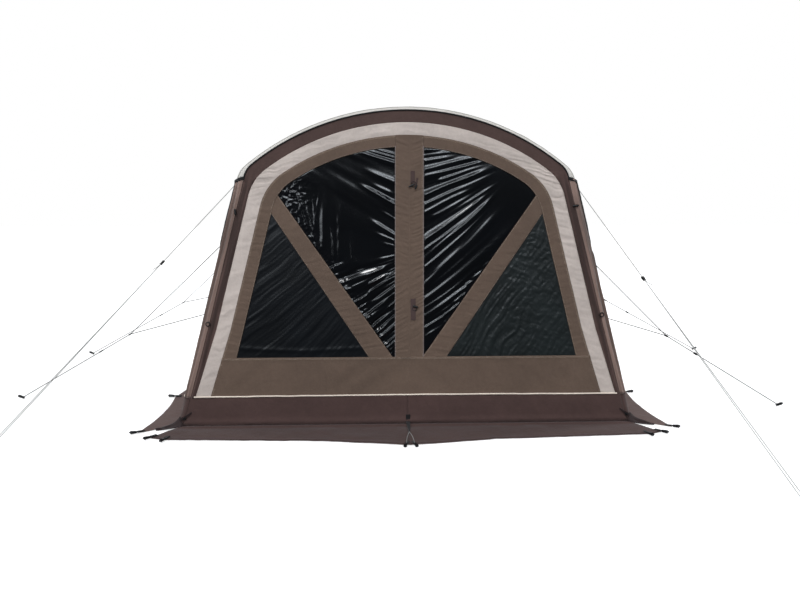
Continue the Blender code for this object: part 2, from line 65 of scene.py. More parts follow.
ROOF_TOP = float(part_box("front_roof")[1][2])
ROOF_RADIUS = 1.717
ROOF_CENTRE_Z = ROOF_TOP - ROOF_RADIUS
SHOULDER = 1.640
SIDE_TOP = 1.676  # height up to which the side cloth laps over the roof cloth
KNEE = 0.650
SEAM = 0.460
SKIRT_TOP = 0.200
FOOT = SKIRT_TOP - 0.006
BASE_HALF = 1.565
SIDE_LEAN = 0.236
SLANT = math.hypot(1, SIDE_LEAN)
ROUND_DEPTH = 0.060
BEAM_DEPTH = 0.0663  # from an end wall to the middle of its beam

STRIP_LEFT = -0.084
STRIP_RIGHT = 0.107
STRIP_MIDDLE = (STRIP_LEFT + STRIP_RIGHT) / 2
STRIP_EDGE = {1: STRIP_RIGHT, -1: -STRIP_LEFT}  # how far from the centre plane, on the right and on the left
BRACE_UPPER = ((0.105, 0.465), (0.880, 1.560))
BRACE_LOWER = ((0.266, 0.460), (0.920, 1.427))
SIDE_WINDOW_Y = (FRONT_Y + 0.290, FRONT_Y + 1.290)
SIDE_WINDOW_Z = (0.620, 1.400)

# Ground flaps: distance from the middle and depth there
FLAPS = {
    "front": ((0.0, 0.400), (0.550, 0.310), (1.580, 0.255), (1.670, 0.215)),
    "rear": ((0.0, 0.255), (1.580, 0.255), (1.670, 0.215)),
}
SIDE_FLAP_OUTER = 1.780
SIDE_FLAP_REACH = REAR_Y + 0.120
SIDE_FLAP_BAYS = 4
SIDE_FLAP_SCALLOP = 0.035

CLOTH = 0.0012  # thickness of a sheet with its coating
LAP = 0.007  # how far a sheet runs on under its neighbour

# How far inside an end wall's face each kind of sheet lies
FRAME_LAYER = -0.0010
BRACE_LAYER = -0.0022
STRIP_LAYER = -0.0034
PANEL_LAYER = -0.0046


# Arch lines

def lapped(line, by):
    """An arch line moved in with its shoulders as round as before."""
    return Line(line.top + by, line.side + by, line.foot + by, line.fillet)


def moved_in(line, by):
    return lapped(line, by)._replace(fillet=line.fillet - by)


def side_x(line, z):
    below_knee = np.maximum(0.0, 1 - np.asarray(z) / KNEE)
    inside = line.side - (line.side - line.foot) * below_knee
    return BASE_HALF - SIDE_LEAN * np.asarray(z) - inside * SLANT


def side_line(line, z):
    return np.stack([side_x(line, z), z], axis=1)


def shoulder_centre(line):
    reach = BASE_HALF - (line.side + line.fillet) * SLANT
    distance = ROOF_RADIUS - line.top - line.fillet
    half = (reach * SIDE_LEAN + ROOF_CENTRE_Z) / SLANT**2
    rest = (reach**2 + ROOF_CENTRE_Z**2 - distance**2) / SLANT**2
    z = half + math.sqrt(half**2 - rest)
    return reach - SIDE_LEAN * z, z


def round_line(centre, radius, start, end, count, endpoint):
    turn = np.linspace(start, end, count, endpoint=endpoint)
    return centre + radius * np.stack([np.cos(turn), np.sin(turn)], axis=1)


def half_arch(line, z_low, counts, x_end=0.0):
    """Points (x, z) of an arch line from the right side at a height to x_end on the roof arc."""
    n_side, n_fillet, n_arc = counts
    centre = shoulder_centre(line)
    start = math.atan2(SIDE_LEAN, 1)
    end = math.atan2(centre[1] - ROOF_CENTRE_Z, centre[0])
    z_high = centre[1] + line.fillet * math.sin(start)
    radius = ROOF_RADIUS - line.top
    side = side_line(line, np.linspace(z_low, z_high, n_side, endpoint=False))
    shoulder = round_line(centre, line.fillet, start, end, n_fillet, False)
    roof = round_line((0, ROOF_CENTRE_Z), radius, end, math.acos(x_end / radius), n_arc + 1, True)
    return np.concatenate([side, shoulder, roof])


def full_arch(line, z_low, counts):
    """Points (x, z) of an arch line from the right side over the ridge to the left side."""
    right = half_arch(line, z_low, counts)
    return np.concatenate([right, right[-2::-1] * (-1, 1)])


def roof_height(line, x):
    return ROOF_CENTRE_Z + np.sqrt((ROOF_RADIUS - line.top) ** 2 - np.asarray(x) ** 2)


def on_turn(turn, z, proud):
    """x and y on the turn from the front wall into the right side wall, a little outside it."""
    share = np.sin(turn)
    x = side_x(BORDER_OUTER, z) * (1 - share) + side_x(SKIN, z) * share + proud * share
    return x, FRONT_Y + ROUND_DEPTH * (1 - np.cos(turn)) - proud * np.cos(turn)


# Wrinkle patterns

def lattice(ix, iy, seed):
    h = (ix * 73856093) ^ (iy * 19349663) ^ (seed * 83492791)
    h = ((h ^ (h >> 13)) * 1274126177) & 0xFFFFFFFF
    h ^= h >> 16
    return (h & 0xFFFF) / 32767.5 - 1


def noise(x, y, seed):
    """Smooth noise from -1 to 1 that changes over a distance of about 1."""
    x, y = np.broadcast_arrays(np.asarray(x, float), np.asarray(y, float))
    ix, iy = np.floor(x).astype(np.int64), np.floor(y).astype(np.int64)
    fx, fy = x - ix, y - iy
    ux, uy = fx**3 * (fx * (fx * 6 - 15) + 10), fy**3 * (fy * (fy * 6 - 15) + 10)
    low = lattice(ix, iy, seed) * (1 - ux) + lattice(ix + 1, iy, seed) * ux
    high = lattice(ix, iy + 1, seed) * (1 - ux) + lattice(ix + 1, iy + 1, seed) * ux
    return low * (1 - uy) + high * uy


def waves(u, v, *terms):
    """Noise of several sizes: each term has its height, its lengths along u and v, and its seed."""
    return sum(height * noise(u / du, v / dv, seed) for height, du, dv, seed in terms)


def step(low, high, value):
    """0 up to low and 1 from high, with a smooth rise between them."""
    t = np.clip((value - low) / (high - low), 0, 1)
    return t * t * (3 - 2 * t)


def zone(value, low, high, soft):
    return step(low - soft, low + soft, value) * step(high + soft, high - soft, value)


def bell(value, width):
    """1 at zero, falling to nothing over about two widths."""
    return np.exp(-((value / width) ** 2))


def bow(share, power=1.0):
    """0 at both ends of a share from 0 to 1, and 1 in its middle."""
    return np.sin(math.pi * np.clip(share, 0, 1)) ** power


# Meshes

def new_object(name, mesh, surface, nodes):
    """An object of a mesh that rides on the tent, wears a surface and replaces some nodes."""
    mesh.materials.append(surface.material)
    thing = bpy.data.objects.new(name, mesh)
    bpy.context.scene.collection.objects.link(thing)
    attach(thing, "root")
    if nodes:
        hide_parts(*nodes)
    return thing


def new_sheet(name, mesh, uv, surface, nodes):
    """A sheet of cloth of a mesh, with a UV in metres."""
    layer = mesh.uv_layers.new(name="UVMap")
    order = np.zeros(len(mesh.loops), np.int32)
    mesh.loops.foreach_get("vertex_index", order)
    layer.data.foreach_set("uv", uv.astype(np.float32)[order].ravel())
    mesh.shade_smooth()
    thing = new_object(name, mesh, surface, nodes)
    solid = thing.modifiers.new("thickness", "SOLIDIFY")
    solid.thickness = CLOTH
    solid.offset = 0


def lengths(points, axis):
    """Distance along a grid of points in one direction, from its first row or column."""
    along = np.cumsum(np.linalg.norm(np.diff(points, axis=axis), axis=2), axis=axis)
    return np.insert(along, 0, 0, axis=axis)


def grid_sheet(name, points, surface, nodes, keep=None, flat=None):
    """A sheet of cloth over a grid of points, or over those of its cells that are kept."""
    u, v = lengths(points, 0), lengths(points, 1)
    index = np.arange(u.size).reshape(u.shape)
    cells = np.stack([index[:-1, :-1], index[1:, :-1], index[1:, 1:], index[:-1, 1:]], axis=2)
    if keep is not None:
        cells = cells[keep]
    used, faces = np.unique(cells.reshape(-1, 4), return_inverse=True)
    faces = faces.reshape(-1, 4)
    points = points.reshape(-1, 3)[used]
    mesh = bpy.data.meshes.new(name)
    mesh.from_pydata(points.tolist(), [], faces.tolist())
    uv = np.stack([u, v], axis=2).reshape(-1, 2)[used]
    flat = flat or (float(v[:, -1].mean()), float(u[-1].mean()))
    new_sheet(name, mesh, uv, surface, nodes)


def cut_sheet(name, outline, spacing, depth, end, surface, nodes):
    """A flat sheet cut to a convex outline in (x, z), with depth(x, z, edge) pushed into it."""
    outline = [Vector(p) for p in outline]
    sides = list(zip(outline, outline[1:] + outline[:1]))
    low = [min(p[i] for p in outline) for i in range(2)]
    high = [max(p[i] for p in outline) for i in range(2)]
    nx, nz = (max(2, int((b - a) / spacing)) for a, b in zip(low, high))
    work = bmesh.new()
    bmesh.ops.create_grid(work, x_segments=nx, y_segments=nz, size=0.5)
    for vertex in work.verts:
        vertex.co = (*(a + (c + 0.5) * (b - a) for a, b, c in zip(low, high, vertex.co)), 0)
    area = sum(a.cross(b) for a, b in sides) / 2
    for a, b in sides:
        out = Vector(((b - a).y, -(b - a).x, 0)) * (1 if area > 0 else -1)
        geometry = work.verts[:] + work.edges[:] + work.faces[:]
        bmesh.ops.bisect_plane(
            work, geom=geometry, dist=1e-6, plane_co=(*a, 0), plane_no=out, clear_outer=True
        )
    work.verts.ensure_lookup_table()
    flat = np.array([(v.co.x, v.co.y) for v in work.verts])
    x, z = flat.T
    push = depth(x, z, edge_distance(x, z, sides)) + wall_relief(x, z)
    for vertex, place, in_by in zip(work.verts, flat, push):
        vertex.co = (place[0], WALL_Y[end] + INWARD[end] * in_by, place[1])
    mesh = bpy.data.meshes.new(name)
    work.to_mesh(mesh)
    work.free()
    new_sheet(name, mesh, flat, surface, nodes)


def edge_distance(x, z, sides):
    best = np.full(len(x), np.inf)
    for a, b in sides:
        along = (b - a).normalized()
        best = np.minimum(best, np.abs((x - a.x) * along.y - (z - a.y) * along.x))
    return best


def line_of(x, y, z):
    return np.stack(np.broadcast_arrays(x, y, z), axis=-1)


def tube(path, radius, sides=8, cyclic=False):
    """Points and faces of a round tube along a path."""
    path = [Vector(p) for p in path]
    rings, faces = [], []
    normal = None
    count = len(path)
    for i, place in enumerate(path):
        after = path[(i + 1) % count] if cyclic else path[min(i + 1, count - 1)]
        before = path[i - 1] if cyclic else path[max(i - 1, 0)]
        along = (after - before).normalized()
        if normal is None:
            normal = along.orthogonal().normalized()
        normal = (normal - along * normal.dot(along)).normalized()
        other = along.cross(normal)
        size = radius(i / (count - 1)) if callable(radius) else radius
        for k in range(sides):
            a = 2 * math.pi * k / sides
            rings.append(tuple(place + (normal * math.cos(a) + other * math.sin(a)) * size))
    for i in range(count if cyclic else count - 1):
        for k in range(sides):
            j, n = (k + 1) % sides, ((i + 1) % count) * sides
            faces.append((i * sides + k, i * sides + j, n + j, n + k))
    if not cyclic:
        faces.append(tuple(range(sides))[::-1])
        faces.append(tuple(range((count - 1) * sides, count * sides)))
    return rings, faces


def ring_shape(centre, normal, radius, thickness):
    normal = Vector(normal).normalized()
    a = normal.orthogonal().normalized()
    b = normal.cross(a)
    turns = [2 * math.pi * i / 20 for i in range(20)]
    path = [Vector(centre) + (a * math.cos(t) + b * math.sin(t)) * radius for t in turns]
    return tube(path, thickness, 8, cyclic=True)


def rounded_box(centre, along, across, size, bevel):
    """Points and faces of a box with bevelled edges."""
    along = Vector(along).normalized()
    normal = along.cross(Vector(across)).normalized()
    across = normal.cross(along)
    work = bmesh.new()
    bmesh.ops.create_cube(work, size=1)
    for vertex in work.verts:
        c = vertex.co
        vertex.co = along * c.x * size[0] + across * c.y * size[1] + normal * c.z * size[2]
    bmesh.ops.bevel(work, geom=work.edges[:], offset=bevel, segments=2, affect="EDGES")
    work.verts.index_update()
    points = [tuple(v.co + Vector(centre)) for v in work.verts]
    faces = [tuple(v.index for v in f.verts) for f in work.faces]
    work.free()
    return points, faces


def strip_shape(path, normals, widths, thickness):
    """A closed strip of webbing along a path, flat against a surface with the given normals."""
    points, faces = [], []
    count = len(path)
    for i, (place, normal, width) in enumerate(zip(path, normals, widths)):
        along = (path[min(i + 1, count - 1)] - path[max(i - 1, 0)]).normalized()
        normal = normal.normalized()
        across = along.cross(normal).normalized() * width / 2
        for a, b in ((-1, 0), (1, 0), (1, 1), (-1, 1)):
            points.append(tuple(place + across * a + normal * thickness * b))
    for i in range(0, 4 * count - 4, 4):
        for k in range(4):
            j = (k + 1) % 4
            faces.append((i + k, i + j, i + 4 + j, i + 4 + k))
    return points, [*faces, (3, 2, 1, 0), tuple(range(4 * count - 4, 4 * count))]


def joined(name, parts, surface, nodes=(), smooth_angle=40):
    """One rigid object from several shapes."""
    points, faces = [], []
    for some, their in parts:
        faces += [tuple(i + len(points) for i in f) for f in their]
        points += some
    mesh = bpy.data.meshes.new(name)
    mesh.from_pydata(points, [], faces)
    work = bmesh.new()
    work.from_mesh(mesh)
    bmesh.ops.recalc_face_normals(work, faces=work.faces)
    work.to_mesh(mesh)
    work.free()
    mesh.shade_smooth()
    mesh.set_sharp_from_angle(angle=math.radians(smooth_angle))
    new_object(name, mesh, surface, nodes)


# Materials

Surface = namedtuple("Surface", "material slot")


def linear(rgb):
    """A colour given in screen values from 0 to 255."""
    return [c / 12.92 if c <= 0.04045 else ((c + 0.055) / 1.055) ** 2.4 for c in (v / 255 for v in rgb)]


class Nodes:
    """A material and short ways to add nodes to it."""

    def __init__(self, name, **sockets):
        self.material = bpy.data.materials.new(name)
        self.material.use_nodes = True
        self.tree = self.material.node_tree
        self.shader = self.tree.nodes["Principled BSDF"]
        for socket, value in sockets.items():
            self.shader.inputs[socket.replace("_", " ")].default_value = value

    def add(self, kind, inputs, **settings):
        """A node with some inputs linked or set."""
        node = self.tree.nodes.new(kind)
        for key, value in settings.items():
            setattr(node, key, value)
        for socket, value in inputs.items():
            if isinstance(value, bpy.types.NodeSocket):
                self.tree.links.new(value, node.inputs[socket])
            else:
                node.inputs[socket].default_value = value
        return node

    def math(self, operation, a, b=0.0):
        return self.add("ShaderNodeMath", {0: a, 1: b}, operation=operation).outputs[0]

    def rise(self, value, start, rate):
        """From 0 to 1 at a rate from a start."""
        grown = self.math("MULTIPLY", self.math("SUBTRACT", value, start), rate)
        return self.math("MINIMUM", self.math("MAXIMUM", grown, 0.0), 1.0)

    def place(self):
        return self.add("ShaderNodeTexCoord", {}).outputs["Object"]

    def noise(self, place, scale, detail=3.0, roughness=0.5):
        inputs = {"Vector": place, "Scale": scale, "Detail": detail, "Roughness": roughness}
        return self.add("ShaderNodeTexNoise", inputs).outputs["Fac"]

    def bump(self, height, distance, strength, **after):
        inputs = {"Height": height, "Distance": distance, "Strength": strength, **after}
        return self.add("ShaderNodeBump", inputs).outputs[0]

    def surface(self, fac, rgb, low, high, normal, slot):
        """The finished surface: a colour made darker and lighter by a factor, and its relief."""
        ramp = self.add("ShaderNodeValToRGB", {0: fac})
        colour = linear(rgb)
        for element, position, share in zip(ramp.color_ramp.elements, (0.3, 0.7), (low, high)):
            element.color = (*(min(1, c * share) for c in colour), 1)
            element.position = position
        self.tree.links.new(ramp.outputs[0], self.shader.inputs["Base Color"])
        self.tree.links.new(normal, self.shader.inputs["Normal"])
        return Surface(self.material, slot)


def fabric(name, slot, rgb, roughness=0.85, thread=0.0011, sheen=0.15, painted_fold_shading_on=None):
    """Woven cloth: crossing threads, slight unevenness of the dye and small creases, and where asked painted
    light and shade of long folds.
    """
    n = Nodes(name, Roughness=roughness, Sheen_Weight=sheen, Sheen_Roughness=0.5, Specular_IOR_Level=0.3)
    texture = n.add("ShaderNodeTexCoord", {})
    place = texture.outputs["Object"]
    warp, weft, _ = n.add("ShaderNodeSeparateXYZ", {0: texture.outputs["UV"]}).outputs
    turn = 2 * math.pi / thread
    weave = n.math("MULTIPLY", *(n.math("SINE", n.math("MULTIPLY", way, turn)) for way in (warp, weft)))
    mix = 0.0
    for scale, detail, weight in ((2.2, 4.0, 0.45), (55.0, 3.0, 0.25), (13.0, 4.0, 0.30)):
        mix = n.math("ADD", mix, n.math("MULTIPLY", n.noise(place, scale, detail, 0.6), weight))
    low, high = 0.80, 1.14
    # Painted light and shade of long folds: lighter and darker runs, with a wider spread of the colour.
    if painted_fold_shading_on:
        low, high = 0.62, 1.34
        painted_fold_runs = n.math("ADD", painted_fold_shading(n, place, painted_fold_shading_on), 0.25)
        mix = n.math("ADD", n.math("MULTIPLY", mix, 0.5), painted_fold_runs)
    creases = n.bump(n.noise(place, 26.0, 5.0, 0.62), 0.0045, 0.70)
    return n.surface(mix, rgb, low, high, n.bump(weave, 0.00021, 0.35, Normal=creases), slot)


def painted_fold_shading(n, place, where):
    """Painted light and shade of long folds along a sleeve or a border: lighter and darker runs in the
    colour.
    """
    x, y, z = n.add("ShaderNodeSeparateXYZ", {0: place}).outputs
    lean = n.math("ADD", n.math("ABSOLUTE", x), n.math("MULTIPLY", z, SIDE_LEAN))
    scaled = [n.math("MULTIPLY", value, scale) for value, scale in ((lean, 26.0), (y, 26.0), (z, 1.3))]
    run = n.add("ShaderNodeCombineXYZ", dict(enumerate(scaled))).outputs[0]
    fold_shade_noise = n.math("SUBTRACT", n.noise(run, 1.0, 2.0, 0.5), 0.5)
    painted_fold_tone = n.math("MULTIPLY", fold_shade_noise, 1.7)
    # On a sleeve the painted fold shading lies only on its turn by the end walls.
    if where == "sleeve":
        return n.math("MULTIPLY", painted_fold_tone, n.rise(n.math("ABSOLUTE", y), 1.440, 25.0))
    # Painted light on the border's outer edge by the sleeve and a little painted shade on the rest, faded out
    # above the shoulders.
    edge = n.rise(n.math("ADD", lean, n.math("MULTIPLY", fold_shade_noise, 0.10)), 1.492, 24.0)
    painted_fold_tone = n.math("ADD", painted_fold_tone, n.math("SUBTRACT", n.math("MULTIPLY", edge, 0.34), 0.06))
    return n.math("MULTIPLY", painted_fold_tone, n.rise(z, 1.74, -8.0))


def film(name, rgb, roughness, crumple, scale, ior, strength):
    """Glossy tinted film with small crumples in it."""
    n = Nodes(name, Roughness=roughness, IOR=ior)
    place = n.place()
    normal = n.bump(n.noise(place, scale, 3.0, 0.55), crumple, strength)
    return n.surface(n.noise(place, 3.0), rgb, 0.8, 1.25, normal, "tinted_film")


def plastic(name, slot, rgb, roughness):
    n = Nodes(name, Roughness=roughness, IOR=1.5)
    place = n.place()
    normal = n.bump(n.noise(place, 900.0, 2.0), 0.0003, 0.3)
    return n.surface(n.noise(place, 40.0), rgb, 0.85, 1.15, normal, slot)


def braid(name, rgb):
    """Braided cord: two sets of strands that wind round it."""
    n = Nodes(name, Roughness=0.75)
    strands = n.add("ShaderNodeTexVoronoi", {"Scale": 900.0, "Vector": n.place()}).outputs["Distance"]
    return n.surface(strands, rgb, 0.75, 1.1, n.bump(strands, 0.0006, 0.5), "grey_cord")


BROWN = fabric("brown_cloth", "brown_fabric", (77, 58, 55), sheen=0.12)
# Painted light: the sleeves and side walls are the brown cloth made lighter, for light on their
# sideways-turned faces.
SLEEVE_PAINTED_LIGHT = fabric("sleeve_cloth_painted_light", "brown_fabric", (124, 103, 95), sheen=0.25, painted_fold_shading_on="sleeve")
# The border cloth carries painted light and shade of long folds.
BORDER = fabric("border_cloth_painted_fold_shade", "brown_fabric", (78, 60, 56), sheen=0.12, painted_fold_shading_on="border")
BEIGE = fabric("beige_cloth", "beige_fabric", (196, 184, 177))
OLIVE = fabric("olive_brown_cloth", "olive_brown_fabric", (99, 82, 71))
ROOF = fabric("pale_roof_cloth", "pale_grey_fabric", (206, 202, 196), roughness=0.7)
# Painted light: the side flaps are the brown cloth made lighter, for light on their upward faces.
SIDE_FLAP_PAINTED_LIGHT = fabric("side_flap_cloth_painted_light", "brown_fabric", (96, 75, 70), sheen=0.12)
CREAM = fabric("cream_piping_cloth", "cream_piping", (236, 222, 208), roughness=0.6)
# The dark cloth also makes the tube along each end skirt's crease, partly a binding and partly painted shade.
DARK = fabric("dark_binding_and_crease_shade", "brown_fabric", (44, 31, 31), roughness=0.8)
ROLL_TAPE = fabric("roll_up_tape", "olive_brown_fabric", (74, 58, 56), roughness=0.8)
WELT = fabric("pale_welt", "pale_grey_fabric", (160, 158, 153), roughness=0.7)
TAPE = fabric("grey_brown_tape", "olive_brown_fabric", (124, 111, 108), roughness=0.7)
BLACK_WEB = fabric("black_webbing", "brown_fabric", (22, 20, 22), roughness=0.7, thread=0.002)
THREAD = plastic("sewing_thread", "olive_brown_fabric", (188, 172, 154), 0.7)
GLOSS_FILM = film("glossy_window_film", (5, 7, 11), 0.150, 0.0020, 34.0, 1.6, 0.10)
# The two lower films are one film in two copies: the lower right one's lighter base is a painted reflection.
DARK_FILM = film("dark_window_film", (9, 13, 18), 0.34, 0.0030, 30.0, 1.5, 0.30)
SOFT_FILM_PAINTED_REFLECTION = film("soft_window_film_painted_reflection", (26, 32, 33), 0.38, 0.0030, 30.0, 1.5, 0.30)
SIDE_FILM = film("side_window_film", (9, 12, 16), 0.17, 0.0024, 20.0, 1.55, 0.22)
BLACK = plastic("black_plastic", "brown_fabric", (20, 20, 22), 0.45)
GREY = plastic("grey_plastic", "brown_fabric", (150, 148, 146), 0.4)
CORD = braid("guy_cord", (168, 168, 166))
DARK_CORD = braid("dark_guy_cord", (86, 84, 84))
BEAM = plastic("beam_skin", "beam_skin", (44, 44, 48), 0.5)


# Front and rear walls

ARCH_COUNTS = {"front": (176, 80, 136), "rear": (64, 24, 52)}
STITCH_PITCH = 0.008
STITCH_HALF = (0.0029, 0.00085, 0.00055)
STITCH_LIFT = 0.0012


def wall_points(xz, y):
    """Points in space from a grid of (x, z) and the depth of each."""
    return line_of(xz[..., 0], y, xz[..., 1])


def between(a, b, steps):
    """A grid of (x, z) from one line of points to another."""
    t = np.linspace(0, 1, steps)[None, :, None]
    return a[:, None, :] * (1 - t) + b[:, None, :] * t


def band_grid(outer, inner, z_low, counts, columns):
    """A grid of (x, z) between two arch lines, with two more columns under the next sheet."""
    edge = full_arch(inner, z_low, counts)
    under = full_arch(lapped(inner, LAP), z_low, counts)
    xz = between(full_arch(outer, z_low, counts), edge, columns)
    xz = np.concatenate([xz, (edge * 0.6 + under * 0.4)[:, None], under[:, None]], axis=1)
    across = np.concatenate([np.linspace(0, 1, columns), [1.04, 1.1]])[None, :]
    return xz, across


def skin_distance(x, z):
    """How far inside the skin a point of an end wall is."""
    side = (side_x(SKIN, z) - np.abs(x)) / SLANT
    return np.minimum(side, ROOF_RADIUS - np.hypot(x, z - ROOF_CENTRE_Z))


def wall_relief(x, z):
    """Wrinkles that all sheets of an end wall share, as depth into the tent."""
    inside = skin_distance(x, z)
    out = np.abs(x)
    bend = 0.010 * noise(x / 0.06, z / 0.06, 10)

    # Gathers of the pale border, strongest round the shoulders
    shoulder = bell(z - 1.73, 0.17) * step(0.40, 0.70, out)
    lower = bell(z - 1.25, 0.30) * step(0.70, 0.95, out) * step(-0.2, 0.2, x)
    gathers = noise((z + 0.22 * out + bend) / 0.0115, x / 0.25, 11)
    broad = noise((z + 0.30 * out + 2 * bend) / 0.030, x / 0.20, 12)
    pale = zone(inside, 0.112, 0.205, 0.014)
    relief = ((0.0044 * shoulder + 0.0034 * lower + 0.0013) * gathers + 0.0028 * broad) * pale
    relief = relief + 0.0012 * noise(z / 0.22, x / 0.22, 13) * step(0.05, 0.12, inside)

    # Small creases across the trim round the windows
    trim = zone(inside, 0.210, 0.290, 0.012) * step(1.70, 1.35, z) * step(SEAM, SEAM + 0.05, z)
    relief = relief + 0.0021 * noise((z - 0.15 * out + bend) / 0.013, x / 0.12, 21) * trim

    # Puckers of the middle strip, which slope away from its zip
    aside = x - STRIP_MIDDLE
    left, far = aside < 0, np.abs(aside)
    strip = step(0.106, 0.094, far) * step(1.99, 1.94, z) * step(SEAM, SEAM + 0.04, z)
    high = step(0.98, 1.18, z)
    slope = np.where(left, 0.42, -0.38) * high - np.where(left, 0.55, 0.62) * (1 - high)
    along = z + slope * step(0.46, 0.62, z) * aside + 0.5 * bend
    puckers = noise(along / 0.0125, aside / 0.11 + np.where(left, 0.0, 7.3), 31)
    return relief + 0.0026 * puckers * step(0.003, 0.014, far) * strip


def wall_sheet(end, part, xz, layer, surface, node=None):
    """A sheet of an end wall in place of its frame node. A positive layer lies further inside."""
    push = layer + wall_relief(xz[..., 0], xz[..., 1])
    points = wall_points(xz, WALL_Y[end] + INWARD[end] * push)
    grid_sheet(f"{end}_{part}_cloth", points, surface, [node or f"{end}_{part}"])


def outer_border(end):
    """The dark border: a shallow valley between the sleeve and the pale border."""
    xz, across = band_grid(BORDER_OUTER, BORDER_INNER, FOOT, ARCH_COUNTS[end], 12)
    z = xz[..., 1]
    valley = 0.0050 * step(0.55, 0.0, across) * step(1.80, 1.55, z)
    folds = 0.0100 * noise(z / 0.60, across * 2.6, 3) + 0.0060 * noise(z / 0.28, across * 4.6, 5)
    folds = np.where(folds > 0, 0.25 * folds, folds)
    puckers = 0.0013 * noise(lengths(wall_points(xz, 0.0), 0) / 0.018, across * 1.2, 7)
    free = bow(across) * step(1.85, 1.60, z)
    layer = valley + (folds + puckers) * free + 0.0008 * step(0.98, 1.05, across)
    wall_sheet(end, "outer_border", xz, layer, BORDER)


def inner_border(end):
    """The pale border, gathered into small creases where it goes round the shoulders."""
    xz, across = band_grid(BORDER_INNER, PANEL_EDGE, FOOT, ARCH_COUNTS[end], 14)
    layer = -0.0008 + 0.0008 * step(0.3, 1.0, across) + 0.0010 * step(0.98, 1.05, across)
    wall_sheet(end, "inner_border", xz, layer - 0.0018 * bow(across, 0.7), BEIGE)


def frames(end, node=None):
    """The trim round the windows, left and right of the middle strip, its foot under the panel."""
    counts = (150, 44, 150) if end == "front" else (70, 24, 80)
    for side, sign in LEFT_FIRST:
        lines = [half_arch(line, SEAM - LAP, counts, STRIP_EDGE[sign]) for line in (PANEL_EDGE, WINDOW_EDGE)]
        layer = FRAME_LAYER - 0.0012 * bow(np.linspace(0, 1, 13), 0.7)
        wall_sheet(end, f"{side}_frame", between(*lines, 13) * (sign, 1), layer, OLIVE, node)


def centre_strip(end, node=None):
    """The middle strip. Its top runs on over the trim, up to the pale border."""
    columns, rows = (26, 300) if end == "front" else (12, 120)
    x = np.linspace(STRIP_LEFT, STRIP_RIGHT, columns)
    x = np.sort(np.concatenate([x, STRIP_MIDDLE + np.array([-0.0012, 0.0020])]))
    top = roof_height(PANEL_EDGE, x) + 0.001
    z = SEAM - LAP + np.linspace(0, 1, rows)[:, None] * (top - SEAM + LAP)
    xz = np.stack(np.broadcast_arrays(x, z), axis=2)
    layer = STRIP_LAYER - 0.0012 * bow((x - STRIP_LEFT) / (STRIP_RIGHT - STRIP_LEFT), 0.6)
    layer = layer + 0.0014 * (step(STRIP_MIDDLE - 0.001, STRIP_MIDDLE + 0.002, x) - 0.5)
    wall_sheet(end, "centre_strip", xz, layer, OLIVE, node)


def braces():
    """The two strips that slant from the shoulders to the foot of the middle strip."""
    u = np.linspace(-0.012, 1.03, 216)[:, None]
    across = np.linspace(0, 1, 14)
    xz = between(*(np.array(a) * (1 - u) + np.array(b) * u for a, b in (BRACE_UPPER, BRACE_LOWER)), 14)
    along = lengths(wall_points(xz, 0.0), 0)
    for side, sign in LEFT_FIRST:
        creases = 0.0018 * noise(along / 0.018 + 1.5 * across, across * 1.5, 41 + sign)
        creases = creases + 0.0016 * noise(along / 0.14, across * 1.5, 43 + sign)
        layer = BRACE_LAYER - 0.0014 * bow(across, 0.7)
        layer = layer + creases * step(0.98, 0.92, u) + 0.0034 * step(0.955, 0.985, u)
        wall_sheet("front", f"{side}_brace", xz * (sign, 1), layer, OLIVE)


def lower_panel(end):
    """The plain panel under the windows, its top edge sewn over them."""
    rows, columns = (28, 230) if end == "front" else (18, 110)
    z = np.linspace(FOOT, SEAM + 0.003, rows)[:, None]
    x, z = np.broadcast_arrays(side_x(PANEL_EDGE, z) * np.linspace(-1, 1, columns), z)
    down, aside = SEAM - z, x - STRIP_MIDDLE
    drag = 0.0034 * noise((np.abs(x) * 0.8 + z) / 0.09, x / 0.5, 51)
    drag = (drag + 0.0012 * noise((x + 0.5 * z) / 0.030, z / 0.15, 52)) * bow((z - FOOT) / (SEAM - FOOT))
    fan = noise(np.arctan2(aside, down + 0.03) / 0.16, down / 0.3, 55)
    drag = drag + 0.0018 * fan * bell(np.hypot(aside, down), 0.22) * step(0.0, 0.03, down)
    layer = -0.0012 + (PANEL_LAYER + 0.0012) * bell(down, 0.02) + drag
    layer = layer + 0.0009 * noise(x / 0.017, z / 0.08, 53) * bell(down, 0.03)
    layer = layer - 0.0012 * bell(aside, 0.0030) * step(SEAM, SEAM - 0.02, z)
    wall_sheet(end, "lower_panel", np.stack([x, z], axis=2), layer, OLIVE)


def stitch_line(points, layer):
    """Thread stitches along a line of (x, z) points of the front wall, each a small spindle."""
    along = np.insert(np.cumsum(np.linalg.norm(np.diff(points, axis=0), axis=1)), 0, 0)
    at = np.arange(STITCH_PITCH / 2, along[-1], STITCH_PITCH)

    def place(distance):
        return np.array([np.interp(distance, along, values) for values in points.T])

    x, z = place(at)
    ahead = place(np.minimum(at + 0.002, along[-1])) - place(np.maximum(at - 0.002, 0))
    dx, dz = ahead / np.hypot(*ahead)
    centre = line_of(x, FRONT_Y + layer - STITCH_LIFT + wall_relief(x, z), z)
    ways = (line_of(dx, 0, dz), line_of(-dz, 0, dx), np.array([0, 1, 0]))
    run, wide, deep = (way * half for way, half in zip(ways, STITCH_HALF))
    corners = (centre + run, centre + wide, centre + deep, centre - wide, centre - deep, centre - run)
    faces = []
    for i in range(0, 6 * len(at), 6):
        for a, b in ((1, 2), (2, 3), (3, 4), (4, 1)):
            faces += [(i, i + a, i + b), (i + 5, i + b, i + a)]
    return np.stack(corners, axis=1).reshape(-1, 3).tolist(), faces


def sideways(line):
    """The direction to the left of a straight line of (x, z)."""
    (x0, z0), (x1, z1) = line
    return Vector((z0 - z1, x1 - x0)).normalized()


